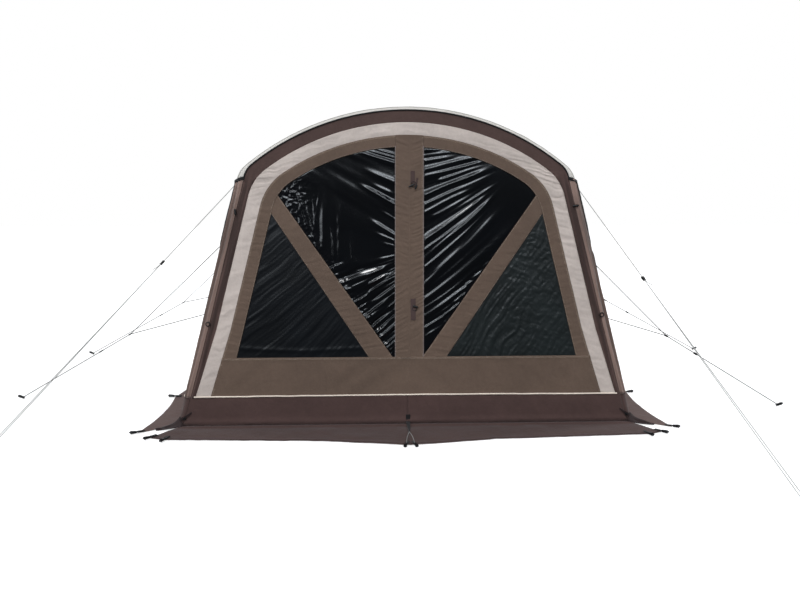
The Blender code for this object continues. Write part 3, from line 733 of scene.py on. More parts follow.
def wall_seams():
    """Stitched seams and edge tapes of the front wall."""
    counts = (120, 60, 160)
    low = SKIRT_TOP + 0.01
    lines = [(full_arch(lapped(PANEL_EDGE, by), low, counts), FRAME_LAYER) for by in (0.005, 0.010)]
    lines.append((full_arch(lapped(BORDER_INNER, 0.005), low, counts), -0.0012))
    for sign, edge in STRIP_EDGE.items():
        rim = half_arch(moved_in(WINDOW_EDGE, -0.005), SEAM + 0.004, counts, edge)
        lines.append((rim * (sign, 1), FRAME_LAYER))
        for line, by in ((BRACE_UPPER, -0.005), (BRACE_LOWER, 0.005)):
            seam = np.array(line) + sideways(line) * by
            lines.append((np.linspace(*seam, 60) * (sign, 1), BRACE_LAYER))
    for x in (STRIP_LEFT + 0.008, STRIP_RIGHT - 0.008, STRIP_MIDDLE - 0.006):
        lines.append((np.linspace((x, SEAM + 0.006), (x, 1.965), 60), STRIP_LAYER))
    x = float(side_x(PANEL_EDGE, SEAM)) - 0.004
    for z in (SEAM - 0.005, SEAM - 0.010):
        lines.append((np.linspace((-x, z), (x, z), 60), PANEL_LAYER))
    joined("front_wall_stitches", [stitch_line(*line) for line in lines], THREAD)
    z = np.linspace(SEAM + 0.001, 1.902, 420)
    edges = (STRIP_LEFT - 0.0005, STRIP_RIGHT + 0.0005)
    tapes = [tube(line_of(x, FRONT_Y + STRIP_LAYER + wall_relief(x, z), z), 0.0030, 6) for x in edges]
    joined("front_strip_edge_tapes", tapes, TAPE)


def toggle_shape(centre, along, length, radius):
    """A toggle with round ends and a waist."""
    along = Vector(along).normalized()
    path = [Vector(centre) + along * length * (i / 8 - 0.5) for i in range(9)]
    return tube(path, lambda t: radius * (0.55 + 0.45 * bow(0.12 + 0.76 * t) - 0.12 * bell(t - 0.5, 0.1)), 10)


def strip_fittings():
    """Roll-up tapes and toggles on the middle strip."""
    y = FRONT_Y + STRIP_LAYER
    tapes = (
        ((0.034, y - 0.0032, 1.690), (0, 0, 1), (0.084, 0.030, 0.0030)),
        ((0.037, y - 0.0032, 0.786), (0, 0, 1), (0.146, 0.034, 0.0030)),
        ((0.060, y - 0.0030, 1.655), (0.25, 0, 1), (0.060, 0.014, 0.0026)),
    )
    toggles = (
        ((0.026, y - 0.0085, 1.632), (0.9, 0, 0.45), 0.046, 0.0062),
        ((0.056, y - 0.0085, 1.622), (0.35, 0, 0.94), 0.034, 0.0062),
        ((0.052, y - 0.0095, 0.806), (0.95, 0, -0.3), 0.036, 0.0075),
    )
    loops = (((0.040, y - 0.0050, 1.640), 0.018), ((0.046, y - 0.0052, 0.790), 0.014))
    tapes = [rounded_box(at, along, (1, 0, 0), size, 0.0010) for at, along, size in tapes]
    toggles = [toggle_shape(*row) for row in toggles]
    loops = [ring_shape(at, (0.1, 1, 0), size, 0.0020) for at, size in loops]
    joined("strip_roll_up_tapes", tapes, ROLL_TAPE)
    joined("strip_toggles", toggles, BLACK)
    joined("strip_toggle_loops", loops, BLACK_WEB)


# Window film

UPPER_FILM = 0.0045  # how far inside the wall's face the film lies where it has no fold
LOWER_FILM = 0.0040

# Fans: height at the strip, slope and bend of the folds that start there. Folds: height at the strip,
# width, height of the crest, and how far from the strip, to the window's side, each starts and ends
RIGHT_FAN = (
    (0.45, 0.60, 0.50), (0.64, 0.60, 0.50), (0.73, 0.52, 0.60), (0.84, 0.62, 0.30),
    (0.96, 0.80, 0.35), (1.14, 0.72, 0.35), (1.25, 0.70, 0.05), (1.40, 0.55, 0.00),
    (1.56, 0.40, 0.00), (1.75, 0.21, 0.00), (1.90, 0.10, 0.00),
)
RIGHT_FOLDS = (
    (1.870, 0.013, 0.0030, -0.02, 0.16), (1.835, 0.012, 0.0034, -0.02, 0.22),
    (1.795, 0.016, 0.0032, -0.02, 0.20), (1.745, 0.026, 0.0064, -0.02, 0.36),
    (1.690, 0.022, 0.0050, -0.02, 0.32), (1.635, 0.016, 0.0042, 0.10, 0.40),
    (1.565, 0.024, 0.0078, -0.02, 0.42), (1.500, 0.016, 0.0040, -0.02, 0.28),
    (1.440, 0.018, 0.0052, -0.02, 0.34), (1.375, 0.018, 0.0048, 0.05, 0.36),
    (1.255, 0.026, 0.0092, -0.02, 0.47), (1.185, 0.014, 0.0050, -0.02, 0.30),
    (1.130, 0.026, 0.0100, -0.02, 0.50), (1.060, 0.015, 0.0052, -0.02, 0.42),
    (0.960, 0.028, 0.0108, -0.02, 0.54), (0.900, 0.014, 0.0048, 0.05, 0.45),
    (0.845, 0.022, 0.0095, -0.02, 0.60), (0.790, 0.012, 0.0042, -0.02, 0.35),
    (0.735, 0.019, 0.0085, -0.02, 0.52), (0.690, 0.012, 0.0042, 0.02, 0.40),
    (0.645, 0.016, 0.0075, -0.02, 0.40), (0.585, 0.013, 0.0052, -0.02, 0.25),
    (0.530, 0.011, 0.0042, -0.02, 0.18),
)
LEFT_FAN = (
    (0.45, -0.90, 0.0), (0.70, -0.80, 0.0), (0.90, -0.75, 0.0), (1.05, -0.55, 0.0),
    (1.15, -0.30, 0.0), (1.22, 0.30, 0.0), (1.30, 0.60, 0.0), (1.50, 0.56, 0.0),
    (1.65, 0.45, 0.0), (1.79, 0.31, 0.0), (1.90, 0.20, 0.0),
)
LEFT_FOLDS = (
    (1.845, 0.007, 0.0030, -0.02, 0.14), (1.818, 0.007, 0.0032, -0.02, 0.18),
    (1.786, 0.016, 0.0064, -0.02, 0.25), (1.762, 0.007, 0.0028, -0.02, 0.12),
    (1.650, 0.024, 0.0056, -0.02, 0.20), (1.560, 0.014, 0.0036, 0.02, 0.16),
    (1.500, 0.018, 0.0078, -0.02, 0.23), (1.472, 0.007, 0.0030, -0.02, 0.10),
    (1.400, 0.009, 0.0030, -0.02, 0.10), (1.292, 0.016, 0.0060, -0.02, 0.17),
    (1.248, 0.009, 0.0044, -0.02, 0.14), (1.214, 0.006, 0.0028, -0.02, 0.10),
    (1.155, 0.006, 0.0036, -0.02, 0.12), (1.128, 0.006, 0.0030, -0.02, 0.16),
    (1.050, 0.008, 0.0048, -0.02, 0.22), (1.018, 0.006, 0.0032, 0.02, 0.16),
    (0.932, 0.008, 0.0046, -0.02, 0.17), (0.880, 0.006, 0.0032, -0.02, 0.20),
    (0.830, 0.008, 0.0046, -0.02, 0.20), (0.790, 0.006, 0.0032, -0.02, 0.16),
    (0.745, 0.007, 0.0040, -0.02, 0.18), (0.700, 0.006, 0.0034, -0.02, 0.15),
    (0.655, 0.006, 0.0034, -0.02, 0.12), (0.605, 0.006, 0.0032, -0.02, 0.10),
)
# Upright creases of the left upper window: x at z = 1.4, lean, width, height, lowest and highest z
CREASES = (
    (-0.664, -0.22, 0.0060, 0.0042, 1.16, 1.58), (-0.632, 0.15, 0.0055, 0.0036, 1.26, 1.60),
    (-0.526, -0.09, 0.0070, 0.0056, 1.02, 1.40), (-0.630, -0.13, 0.0065, 0.0038, 1.30, 1.62),
    (-0.575, 0.02, 0.0180, 0.0048, 1.16, 1.60), (-0.465, -0.01, 0.0160, 0.0044, 1.08, 1.52),
    (-0.700, -0.30, 0.0060, 0.0038, 1.32, 1.62), (-0.400, -0.12, 0.0150, 0.0040, 1.04, 1.34),
)


def clipped(points, normal, limit):
    """The part of an outline on the side of a line where its product with normal is below limit."""
    kept = []
    for a, b in zip(points, points[1:] + points[:1]):
        over_a, over_b = (p[0] * normal[0] + p[1] * normal[1] - limit for p in (a, b))
        if over_a <= 0:
            kept.append(a)
        if (over_a <= 0) != (over_b <= 0):
            share = over_a / (over_a - over_b)
            kept.append((a[0] + (b[0] - a[0]) * share, a[1] + (b[1] - a[1]) * share))
    return kept


def past_line(points, line, above):
    """The part of an outline above or below a slanting line, and its lap past it."""
    out = -sideways(line) if above else sideways(line)
    return clipped(points, out, out.x * line[0][0] + out.y * line[0][1] + LAP)


def window_outlines(sign):
    """The whole, the upper and the lower window on one side of the middle strip, each with its lap."""
    inside = [tuple(p) for p in full_arch(moved_in(WINDOW_EDGE, -LAP), SEAM - LAP, (1, 8, 16))]
    inside = clipped(inside, (-1, 0), LAP - STRIP_EDGE[sign])
    parts = {
        "whole": inside,
        "upper": past_line(inside, BRACE_UPPER, True),
        "lower": past_line(inside, BRACE_LOWER, False),
    }
    return {name: [(x * sign, z) for x, z in outline] for name, outline in parts.items()}


def fan_start(out, z, fan):
    """The height at the strip of the fold that runs through each point."""
    starts, slopes, bends = zip(*fan)
    start = z - 0.3 * out
    for _ in range(30):
        aim = z - np.interp(start, starts, slopes) * out - np.interp(start, starts, bends) * out**2
        start = 0.5 * start + 0.5 * aim
    return start


def fold_heights(start, out, folds, seed):
    """Height of the film's folds, each faded in and out along its run."""
    height = np.zeros_like(start)
    for i, (at, width, size, near, far) in enumerate(folds):
        wander = 0.35 * width * noise(out / 0.17, 0.0, seed + 3 * i)
        run = step(near - 0.02, near + 0.03, out) * step(far * 1.22, far * 0.55, out)
        size = size * (1 + 0.22 * noise(out / 0.15, 0.5, seed + 3 * i + 1))
        height = height + size * run * bell(start - at - wander, width)
    return height


def brace_distance(x, z):
    """How far a point right of the middle is from the upper edge of a slanting strip."""
    across = sideways(BRACE_UPPER)
    return np.abs((x - BRACE_UPPER[0][0]) * across.x + (z - BRACE_UPPER[0][1]) * across.y)


def right_upper_film(x, z, edge):
    """Long folds that spread from the upper outer corner to the middle strip."""
    out = x - STRIP_RIGHT
    start = fan_start(out, z, RIGHT_FAN)
    height = fold_heights(start, out, RIGHT_FOLDS, 200)
    height = height * (1 - 0.9 * step(0.33, 0.50, out) * step(1.36, 1.52, z))
    fine = waves(
        start, out, (0.0026, 0.040, 0.45, 61), (0.0006, 0.013, 0.20, 65), (0.0024, 0.075, 0.50, 62)
    )
    near_brace = step(0.10, 0.01, brace_distance(x, z)) * step(1.35, 1.15, z)
    crinkle = 0.0022 * noise((z - 0.7 * x) / 0.014, (x + z) / 0.06, 67)
    height = height + fine * step(0.55, 0.32, out) + crinkle * near_brace
    return UPPER_FILM - height * step(0, 0.018, edge)


def left_upper_film(x, z, edge):
    """Short folds by the middle strip, upright creases, and many small crinkles low down."""
    out = STRIP_LEFT - x
    start = fan_start(out, z, LEFT_FAN)
    height = fold_heights(start, out, LEFT_FOLDS, 300)
    low = step(1.16, 1.02, z)
    height = height + waves(start, out, (0.0044, 0.0110, 0.12, 71), (0.0084, 0.027, 0.18, 73)) * low
    soft = 0.0014 * noise(start / 0.060, out / 0.30, 72)
    soft = soft + 0.0010 * noise((x + 0.10 * z) / 0.028, z / 0.35, 74)
    height = height + soft * (1 - low)
    for i, (x0, lean, width, size, z_low, z_high) in enumerate(CREASES):
        run = step(z_low, z_low + 0.08, z) * step(z_high + 0.04, z_high - 0.16, z)
        place = x - x0 - lean * (z - 1.4) - 0.004 * noise(z / 0.05, 0.0, 81 + i)
        height = height + size * run * bell(place, width)
    tip = bell(x + 0.77, 0.10) * bell(z - 1.57, 0.11)
    by_brace = step(0.075, 0.005, brace_distance(-x, z))
    crests = noise(x / 0.030 + 0.6 * noise(z / 0.03, x / 0.03, 90), z / 0.022, 91)
    crinkle = 0.0042 * (1 - np.abs(crests)) ** 4 + 0.0016 * noise(x / 0.011, z / 0.013, 93)
    height = height + crinkle * np.maximum(tip, by_brace)
    return UPPER_FILM - height * step(0, 0.012, edge)


def left_lower_film(x, z, edge):
    """Fine soft folds that rise to the right, steeper by the slanting strip."""
    run = x + 1.10
    p = z - 0.62 * run - 0.42 * run**2 + 0.010 * noise(x / 0.20, z / 0.20, 105)
    folds = ((0.0014, 0.034, 0.50, 101), (0.0012, 0.012, 0.40, 103), (0.0009, 0.0075, 0.20, 104))
    height = waves(p, x + z, *folds)
    sag = 0.0030 * bell(z - SEAM - 0.045 - 0.05 * np.abs(x + 0.7), 0.014)
    return LOWER_FILM - (height + sag) * step(0, 0.03, edge)


def right_lower_film(x, z, edge):
    """Fine steep creases by the slanting strip that turn into a soft tangle at the outer side."""
    bend = 0.05 * noise(x / 0.20, z / 0.20, 111)
    steep = noise((0.83 * x - 0.56 * z + 0.6 * bend) / 0.0125, (0.56 * x + 0.83 * z) / 0.16, 113)
    across = noise((0.85 * x + 0.53 * z + bend) / 0.020, (x - z) / 0.14, 114)
    warp_x, warp_z = (v + 0.04 * noise(x / 0.08, z / 0.08, seed) for v, seed in ((x, 115), (z, 117)))
    tangle = noise((warp_z + 0.5 * warp_x) / 0.015, warp_x / 0.045, 119)
    outer = step(0.60, 0.92, x + 0.30 * (z - 0.6))
    height = (0.0036 * steep + 0.0014 * across) * (1 - 0.6 * outer) + 0.0021 * tangle * (0.15 + 0.85 * outer)
    height = height + 0.0012 * noise(x / 0.011, z / 0.016, 121)
    return LOWER_FILM - height * step(0, 0.03, edge)


def front_windows():
    outlines = {side: window_outlines(sign) for side, sign in SIDES}
    for height, side, depth, surface, spacing in (
        ("upper", "right", right_upper_film, GLOSS_FILM, 0.0064),
        ("upper", "left", left_upper_film, GLOSS_FILM, 0.0060),
        # The lower right film's lighter base is a painted reflection.
        ("lower", "right", right_lower_film, SOFT_FILM_PAINTED_REFLECTION, 0.0072),
        ("lower", "left", left_lower_film, DARK_FILM, 0.0078),
    ):
        name = f"front_{height}_{side}"
        outline = outlines[side][height]
        nodes, on = [f"{name}_window"], [f"front_{side}_frame"]
        cut_sheet(f"{name}_film", outline, spacing, depth, "front", surface, nodes)


def rear_film(edge_x, seed):
    """Folds of a rear window, which spread from its upper outer corner to the strip."""
    def depth(x, z, edge):
        out = np.abs(x) - edge_x
        start = fan_start(out, z, RIGHT_FAN)
        height = fold_heights(start, out, RIGHT_FOLDS, seed)
        height = height + 0.0040 * noise(start / 0.075, out / 0.45, seed + 1)
        height = height + 0.0016 * noise(start / 0.024, out / 0.30, seed + 2) * step(0.75, 0.45, out)
        return UPPER_FILM - height * step(0, 0.03, edge)
    return depth


def rear_wall():
    """The rear wall's trim, strip and two windows."""
    frames("rear", "rear_frame")
    centre_strip("rear", "rear_frame")
    for side, sign in LEFT_FIRST:
        depth = rear_film(STRIP_EDGE[sign], 132 + sign)
        outline = window_outlines(sign)["whole"]
        nodes = [f"rear_{side}_window"]
        cut_sheet(f"rear_{side}_film", outline, 0.0175, depth, "rear", SIDE_FILM, nodes)


# Roof and side walls

def beam_sag(y, z):
    """How far the skin sags inward between two beams."""
    to_beam = abs(FRONT_Y) - BEAM_DEPTH - 0.08
    return 0.018 * bow((np.abs(y) - 0.04) / to_beam, 1.5) * step(SKIRT_TOP, 0.9, z)


def turn_in(edge, skin, steps):
    """The turn from an end wall into the skin: (x, z), y, and the angle of the outward direction."""
    angle = np.linspace(0, math.pi / 2, steps)
    share = np.sin(angle)[None, :, None]
    xz = edge[:, None, :] * (1 - share) + skin[:, None, :] * share
    return xz, FRONT_Y + ROUND_DEPTH * (1 - np.cos(angle)), angle


def arch_normals(points):
    along = np.gradient(points, axis=0)
    normal = np.stack([along[:, 1], -along[:, 0]], axis=1)
    return normal / np.linalg.norm(normal, axis=1)[:, None]


def shell(edge, skin, flat_y, turn_steps):
    """Front part of the skin: its points, their outward directions, y, and the turn's angles."""
    xz, y, angle = turn_in(edge, skin, turn_steps)
    xz = np.concatenate([xz, np.repeat(skin[:, None, :], len(flat_y), axis=1)], axis=1)
    y = np.concatenate([y, flat_y])
    angle = np.concatenate([angle, np.full(len(flat_y), math.pi / 2)])
    normal = arch_normals(skin)
    out = line_of(normal[:, :1] * np.sin(angle), -np.cos(angle), normal[:, 1:] * np.sin(angle))
    return wall_points(xz, y), out, y, angle


def roof_bays():
    """The two roof cloths, front and rear of the middle beam."""
    edge, skin = (full_arch(line, SHOULDER, (3, 12, 64)) for line in (BORDER_OUTER, SKIN))
    points, out, _, _ = shell(edge, skin, np.linspace(FRONT_Y + ROUND_DEPTH, 0.0, 53)[1:], 9)
    along = lengths(points, 0)
    y, z = points[..., 1], points[..., 2]
    from_wall = y - FRONT_Y
    push = 0.0080 * noise(along / 0.45, y / 0.26, 111)
    push = push + 0.0048 * noise((along + 0.3 * y) / 0.070, y / 0.45, 113)
    seam = bell(from_wall - ROUND_DEPTH, 0.14) + bell(y, 0.14)
    push = push + 0.0050 * noise((along + 0.5 * y) / 0.040, y / 0.22, 115) * seam
    push = push * step(0.0, 0.12, from_wall) * step(0.0, -0.07, y) * step(1.66, 1.80, z)
    hem = step(1.80, 1.70, z) * step(0.10, 0.25, from_wall) * step(SIDE_TOP, SIDE_TOP + 0.04, z)
    push = push + 0.0055 * noise(y / 0.036, z / 0.10, 117) * hem - beam_sag(y, z)
    points = points + out * push[..., None]
    for end, mirror in ENDS:
        grid_sheet(f"{end}_roof_cloth", points * (1, mirror, 1), ROOF, [f"{end}_roof"])


def stretch_lines(ends, low, high, count):
    """Evenly spread values that include two given ones."""
    parts = []
    for a, b in zip((ends[0], low, high), (low, high, ends[1])):
        n = max(2, round(count * abs(b - a) / abs(ends[1] - ends[0])))
        parts.append(np.linspace(a, b, n, endpoint=False))
    return np.concatenate([*parts, [ends[1]]])


def around_hole(z, y, hole_z, hole_y):
    """Which cells of a grid lie outside a rectangular hole in it."""
    middle_z, middle_y = (z[:-1] + z[1:]) / 2, (y[:-1] + y[1:]) / 2
    in_z = (middle_z > hole_z[0]) & (middle_z < hole_z[1])
    in_y = (middle_y > hole_y[0]) & (middle_y < hole_y[1])
    return ~(in_z[:, None] & in_y)


def sleeve(angle, z):
    """Long folds and a soft swell of the sleeve round an end beam."""
    share = angle / (math.pi / 2)
    swell = 0.0090 * bow(share * 1.25)
    folds = 0.0090 * noise(share * 4.2 + 0.4 * z, z / 0.95, 123)
    folds = folds + 0.0068 * noise(share * 8.5 - 0.7 * z, z / 0.50, 124)
    folds = folds + 0.0040 * noise(share * 13 * step(0.9, 1.7, z), z / 0.6, 128) * bell(z - 1.66, 0.20)
    crease = -0.0075 * bell(share - 0.40 - 0.06 * noise(z / 0.4, 0, 126), 0.065) * step(0.5, 1.1, z)
    puckers = 0.0010 * noise(z / 0.017, share * 2.5, 127)
    return (swell + folds + crease + puckers) * step(0.0, 0.20, share) * step(1.0, 0.85, share)


def on_side(y, z, proud):
    """A point at a height on the right side wall, a little outside its skin."""
    return line_of(side_x(SKIN, z) + proud / SLANT, y, z + proud * SIDE_LEAN / SLANT)


def drawn_in(y, z, at, seed):
    """Wrinkles that spread from a point where the cloth is pulled."""
    dy, dz = y - at[0], z - at[1]
    far = np.hypot(dy, dz)
    angle = np.arctan2(dz, dy)
    star = noise(3.8 * np.cos(angle), 3.8 * np.sin(angle), seed)
    return 0.0150 * star * np.minimum(far / 0.06, 1) * bell(far, 0.30)


def side_relief(y, z, seed, fine=1.0):
    """Wrinkles that a side wall's sheets share."""
    free = step(SKIRT_TOP, 0.4, z) * step(1.66, 1.50, z) * step(0.10, 0.22, y - FRONT_Y)
    relief = 0.0110 * noise(y / 0.20, z / 0.40, seed)
    relief = relief + 0.0060 * fine * noise((y + 0.5 * z) / 0.07, z / 0.35, seed + 1)
    drawn = bell(y + 0.02, 0.12) + bell(np.abs(y) - abs(FRONT_Y) + 0.16, 0.10)
    relief = relief + 0.0060 * fine * noise(z / 0.038, y / 0.16, seed + 2) * drawn
    for i, at in enumerate(((0.0, 1.50), (0.0, 0.76), (-1.44, 1.62), (-1.48, 0.22), (-0.02, 0.22))):
        relief = relief + drawn_in(y, z, at, seed + 10 + i)
    return -beam_sag(y, z) + relief * free * step(0.0, 0.06, np.abs(y))


def side_walls():
    """The four side cloths, each with its sleeve round an end beam, and their windows."""
    z = stretch_lines((FOOT, SIDE_TOP), *SIDE_WINDOW_Z, 76)
    flat_y = stretch_lines((FRONT_Y + ROUND_DEPTH, 0.0), *SIDE_WINDOW_Y, 56)[1:]
    points, out, y, angle = shell(side_line(BORDER_OUTER, z), side_line(SKIN, z), flat_y, 24)
    keep = around_hole(z, y, SIDE_WINDOW_Z, SIDE_WINDOW_Y)
    yy, zz = points[..., 1], points[..., 2]
    for side, sx in SIDES:
        for end, sy in ENDS:
            name, mirror, seed = f"{side}_{end}_side", (sx, sy, 1), 131 + 4 * sx + 9 * sy
            push = side_relief(yy, zz, seed) + 0.0015 * step(SHOULDER - 0.03, SHOULDER, zz)
            push = push + sleeve(angle, zz + 0.3 * sx)
            cloth = (points + push[..., None] * out) * mirror
            # The side cloths wear the brown cloth painted lighter, as painted light.
            grid_sheet(f"{name}_cloth", cloth, SLEEVE_PAINTED_LIGHT, [f"{name}_wall"], keep=keep)
            side_window(name, mirror, seed)


def widened(ends, by):
    return ends[0] - by, ends[1] + by


def side_window(name, mirror, seed):
    """A side window's film and the trim round it."""
    y = np.linspace(*widened(SIDE_WINDOW_Y, LAP), 62)
    z = np.linspace(*widened(SIDE_WINDOW_Z, LAP), 50)
    zz, yy = np.meshgrid(z, y, indexing="ij")
    from_front, from_back = yy - y[0], y[-1] - yy
    edge = np.minimum.reduce([zz - z[0], z[-1] - zz, from_front, from_back])
    folds = fold_heights(fan_start(from_front, zz, RIGHT_FAN), from_front, RIGHT_FOLDS, seed + 20)
    folds = folds + fold_heights(fan_start(from_back, zz + 0.12, LEFT_FAN), from_back, LEFT_FOLDS, seed + 20)
    folds = folds + 0.0045 * noise((zz - 0.5 * yy) / 0.080, yy / 0.5, seed + 5)
    proud = -0.0030 + side_relief(yy, zz, seed, 0.0) - (0.002 - folds) * step(0, 0.05, edge)
    grid_sheet(f"{name}_film", on_side(yy, zz, proud) * mirror, SIDE_FILM, [f"{name}_window"])
    width, lap = 0.035, 0.012
    trim_y, trim_z = widened(SIDE_WINDOW_Y, width), widened(SIDE_WINDOW_Z, width)
    hole_y, hole_z = widened(SIDE_WINDOW_Y, -lap), widened(SIDE_WINDOW_Z, -lap)
    y, z = stretch_lines(trim_y, *hole_y, 80), stretch_lines(trim_z, *hole_z, 62)
    zz, yy = np.meshgrid(z, y, indexing="ij")
    proud = 0.0022 + side_relief(yy, zz, seed) + 0.0005 * noise(yy / 0.015, zz / 0.015, seed + 7)
    around = 2 * (trim_y[1] - trim_y[0] + trim_z[1] - trim_z[0] - 2 * (width + lap))
    keep, flat = around_hole(z, y, hole_z, hole_y), (width + lap, around)
    grid_sheet(f"{name}_trim", on_side(yy, zz, proud) * mirror, OLIVE, (), keep=keep, flat=flat)


# Mud skirt

WALL_RUN = np.linspace(FRONT_Y + ROUND_DEPTH, REAR_Y - ROUND_DEPTH, 120)[1:-1]
CREASE = 0.030  # how far up the wall and out on the flap the swells beside the ground crease lie


def flap_depth(end, x):
    """How far the flap of an end wall reaches from the wall."""
    return np.interp(np.abs(x), *zip(*FLAPS[end]))


def flap_lift(x, t, depth):
    """Height of a flap's cloth over the ground: a swell near the crease, then low waves."""
    swell = 0.0095 * bell(depth * t - CREASE, 0.020)
    low_waves = 0.0045 * (noise(x / 0.14, t * 2.5, 145) + 0.8) * bow(t * 1.15)
    rim = 0.0016 * (noise(x / 0.05, t * 4, 147) + 1) * t
    return 0.0022 + swell + np.maximum(low_waves * step(0.0, 0.12, depth * t) + rim, 0)


def end_skirt(node, sides, end):
    """An end skirt: an upright strip, a crease at the ground and a flap that lies on the ground."""
    columns = {"front": 100, "rear": 112}[end]
    s = np.linspace(*sides, columns)
    rows = []
    for height in np.concatenate([np.linspace(SKIRT_TOP, 0.040, 16), np.linspace(0.034, 0.004, 7)]):
        x = s * (side_x(BORDER_OUTER, height) - 0.001)
        fold = waves(x, height, (0.0034, 0.25, 0.12, 141), (0.0026, 0.09, 0.2, 143))
        fold = fold + 0.0016 * noise((x + 0.6 * height) / 0.035, height / 0.2, 144)
        bulge = 0.0060 * bell(height - CREASE, 0.018) - 0.0030 * step(0.020, 0.004, height)
        rows.append(line_of(x, bulge + 0.001 - fold * step(0.0, 0.03, height), height))
    foot = s * (side_x(BORDER_OUTER, 0.0) - 0.001)
    edge_x = s * FLAPS[end][-1][0]
    depth = flap_depth(end, edge_x)
    for t in np.concatenate([np.linspace(0.0, 0.20, 13), np.linspace(0.24, 1.0, 20)]):
        x = foot * (1 - t) + edge_x * t
        rows.append(line_of(x, -0.002 + (depth + 0.002) * t, flap_lift(x, t, depth)))
    points = np.stack(rows)
    points[:, s == 0, 0] += 0.0006
    base, outward = WALL_Y[end], -INWARD[end]
    points[..., 1] = base + outward * points[..., 1]
    # A dark tube along the crease: partly a binding, partly painted shade in the crease.
    crease = np.linspace(*sides, 120) * (float(side_x(BORDER_OUTER, 0.0)) - 0.006)
    crease_binding_and_shade = tube(line_of(crease, base + outward * 0.0035, 0.0042), 0.0034, 6)
    hem_x = foot * 0.05 + edge_x * 0.95
    hem_z = flap_lift(hem_x, 0.95, depth) + 0.0012
    hem = tube(line_of(hem_x, base + outward * 0.95 * depth, hem_z), 0.0016, 5)
    joined(f"{node}_cloth_binding_and_crease_shade", [crease_binding_and_shade, hem], DARK)
    grid_sheet(f"{node}_cloth", points, BROWN, [node])


def side_skirt(side, sx):
    """A side skirt: the foot of the sleeve and wall, and the scalloped flap outside it."""
    z = np.linspace(SKIRT_TOP, 0.004, 14)
    skin = side_line(SKIN, z)
    xz, y, _ = turn_in(side_line(BORDER_OUTER, z), skin, 13)
    xz = np.concatenate([xz, np.repeat(skin[:, None, :], len(WALL_RUN), axis=1), xz[:, ::-1]], axis=1)
    y = np.concatenate([y, WALL_RUN, -y[::-1]])
    push = waves(y, xz[..., 1], (0.002, 0.2, 0.15, 151), (0.0012, 0.07, 0.1, 153))
    column = np.arange(len(y))
    push = push * step(0.1, 0.8, np.minimum(column, column[::-1]) / 13)
    upright = wall_points(xz, y) + push[..., None] * np.array([1, 0, SIDE_LEAN]) / SLANT
    s, t = np.linspace(-1, 1, 161), np.linspace(0, 1, 14)[:, None]
    bay = (s + 1) / 2 * SIDE_FLAP_BAYS
    share = bay - np.floor(np.clip(bay, 0, SIDE_FLAP_BAYS - 1e-6))
    edge_x = SIDE_FLAP_OUTER - SIDE_FLAP_SCALLOP * 4 * share * (1 - share)
    foot_x = BASE_HALF - 0.012 - 0.020 * step(0.955, 1.0, np.abs(s))
    x = foot_x * (1 - t) + edge_x * t
    y = s * (REAR_Y - 0.030) * (1 - t) + s * SIDE_FLAP_REACH * t
    lift = 0.003 * (noise(y / 0.13, t * 2.2, 155) + 0.8) * bow(t * 1.1)
    lift = lift + 0.001 * (noise(y / 0.05, t * 4, 157) + 1) * t
    flap = line_of(x, y, 0.0022 + np.maximum(lift, 0))
    name, nodes, walls = f"{side}_skirt", [f"{side}_skirt"], [f"{side}_{end}_side_wall" for end, _ in ENDS]
    grid_sheet(f"{name}_upright", upright * (sx, 1, 1), BROWN, nodes)
    # The side flap wears the brown cloth painted lighter, as painted light.
    grid_sheet(f"{name}_flap", flap * (sx, 1, 1), SIDE_FLAP_PAINTED_LIGHT, nodes)


def sleeve_feet():
    """The gathered cloth where a sleeve's foot lies on the ground between two flaps."""
    t, across = np.linspace(0, 1, 15)[:, None], np.linspace(-1, 1, 9)[None, :]
    reach, half = 0.165, 0.050 * (1 - t) + 0.012
    x = BASE_HALF - 0.022 + reach * 0.82 * t + 0.57 * half * across
    y = FRONT_Y + 0.018 - reach * 0.57 * t + 0.82 * half * across
    for side, sx in SIDES:
        for end, sy in ENDS:
            fold = noise(across * 2.4, t * 2.0 + sx, 181 + sy)
            height = 0.013 + 0.040 * (1 - t) ** 5 + 0.016 * fold * (1 - 0.6 * t)
            points = line_of(x * sx, y * sy, np.maximum(height * (1 - 0.6 * across**2), 0.0030))
            grid_sheet(f"{side}_{end}_sleeve_foot", points, DARK, ())


def skirts():
    end_skirt("front_right_skirt", (0.0, 1.0), "front")
    end_skirt("front_left_skirt", (-1.0, 0.0), "front")
    end_skirt("rear_skirt", (-1.0, 1.0), "rear")
    for side, sx in SIDES:
        side_skirt(side, sx)
    sleeve_feet()


# Piping

SLEEVE_TOP = 1.679  # where the piping leaves a sleeve and goes on round the roof


def sleeve_piping_path(side_sign):
    """Up a sleeve's cloth, behind its outline low down and on it near the shoulder, then across its top."""
    z = np.concatenate([np.linspace(0.190, 1.652, 100), np.linspace(1.652, 1.677, 14)[1:]])
    turn = (0.92 - 0.26 * step(1.10, 1.36, z)) * step(SLEEVE_TOP, 1.650, z) * math.pi / 2
    return line_of(*on_turn(turn, z, 0.0038 + sleeve(turn, z + 0.3 * side_sign)), z)


def arch_piping_path(end_sign):
    """Up the outside of the sleeve, across its top and round the roof, then down the other side."""
    arch = wall_points(half_arch(BORDER_OUTER, SLEEVE_TOP, (3, 24, 70)), FRONT_Y - 0.003)
    right, left = (np.concatenate([sleeve_piping_path(side_sign), arch]) for side_sign in (1, -1))
    return np.concatenate([right, left[-2::-1] * (-1, 1, 1)]) * (1, end_sign, 1)


def end_pipings():
    """Cream piping over the end skirts, and the black piping round the roof and down the sleeves."""
    x = np.linspace(-1.445, 1.445, 160)
    z = SKIRT_TOP + 0.004 * np.cos(x * 1.1) + 0.0012 * noise(x / 0.1, 0, 161)
    for end, inward in ENDS:
        cord = tube(line_of(x, WALL_Y[end] - inward * 0.0040, z), 0.0048)
        joined(f"{end}_piping_cord", [cord], CREAM, ["front_piping"] if end == "front" else ())
        joined(f"{end}_arch_piping", [tube(arch_piping_path(inward), 0.0052)], BLACK_WEB)


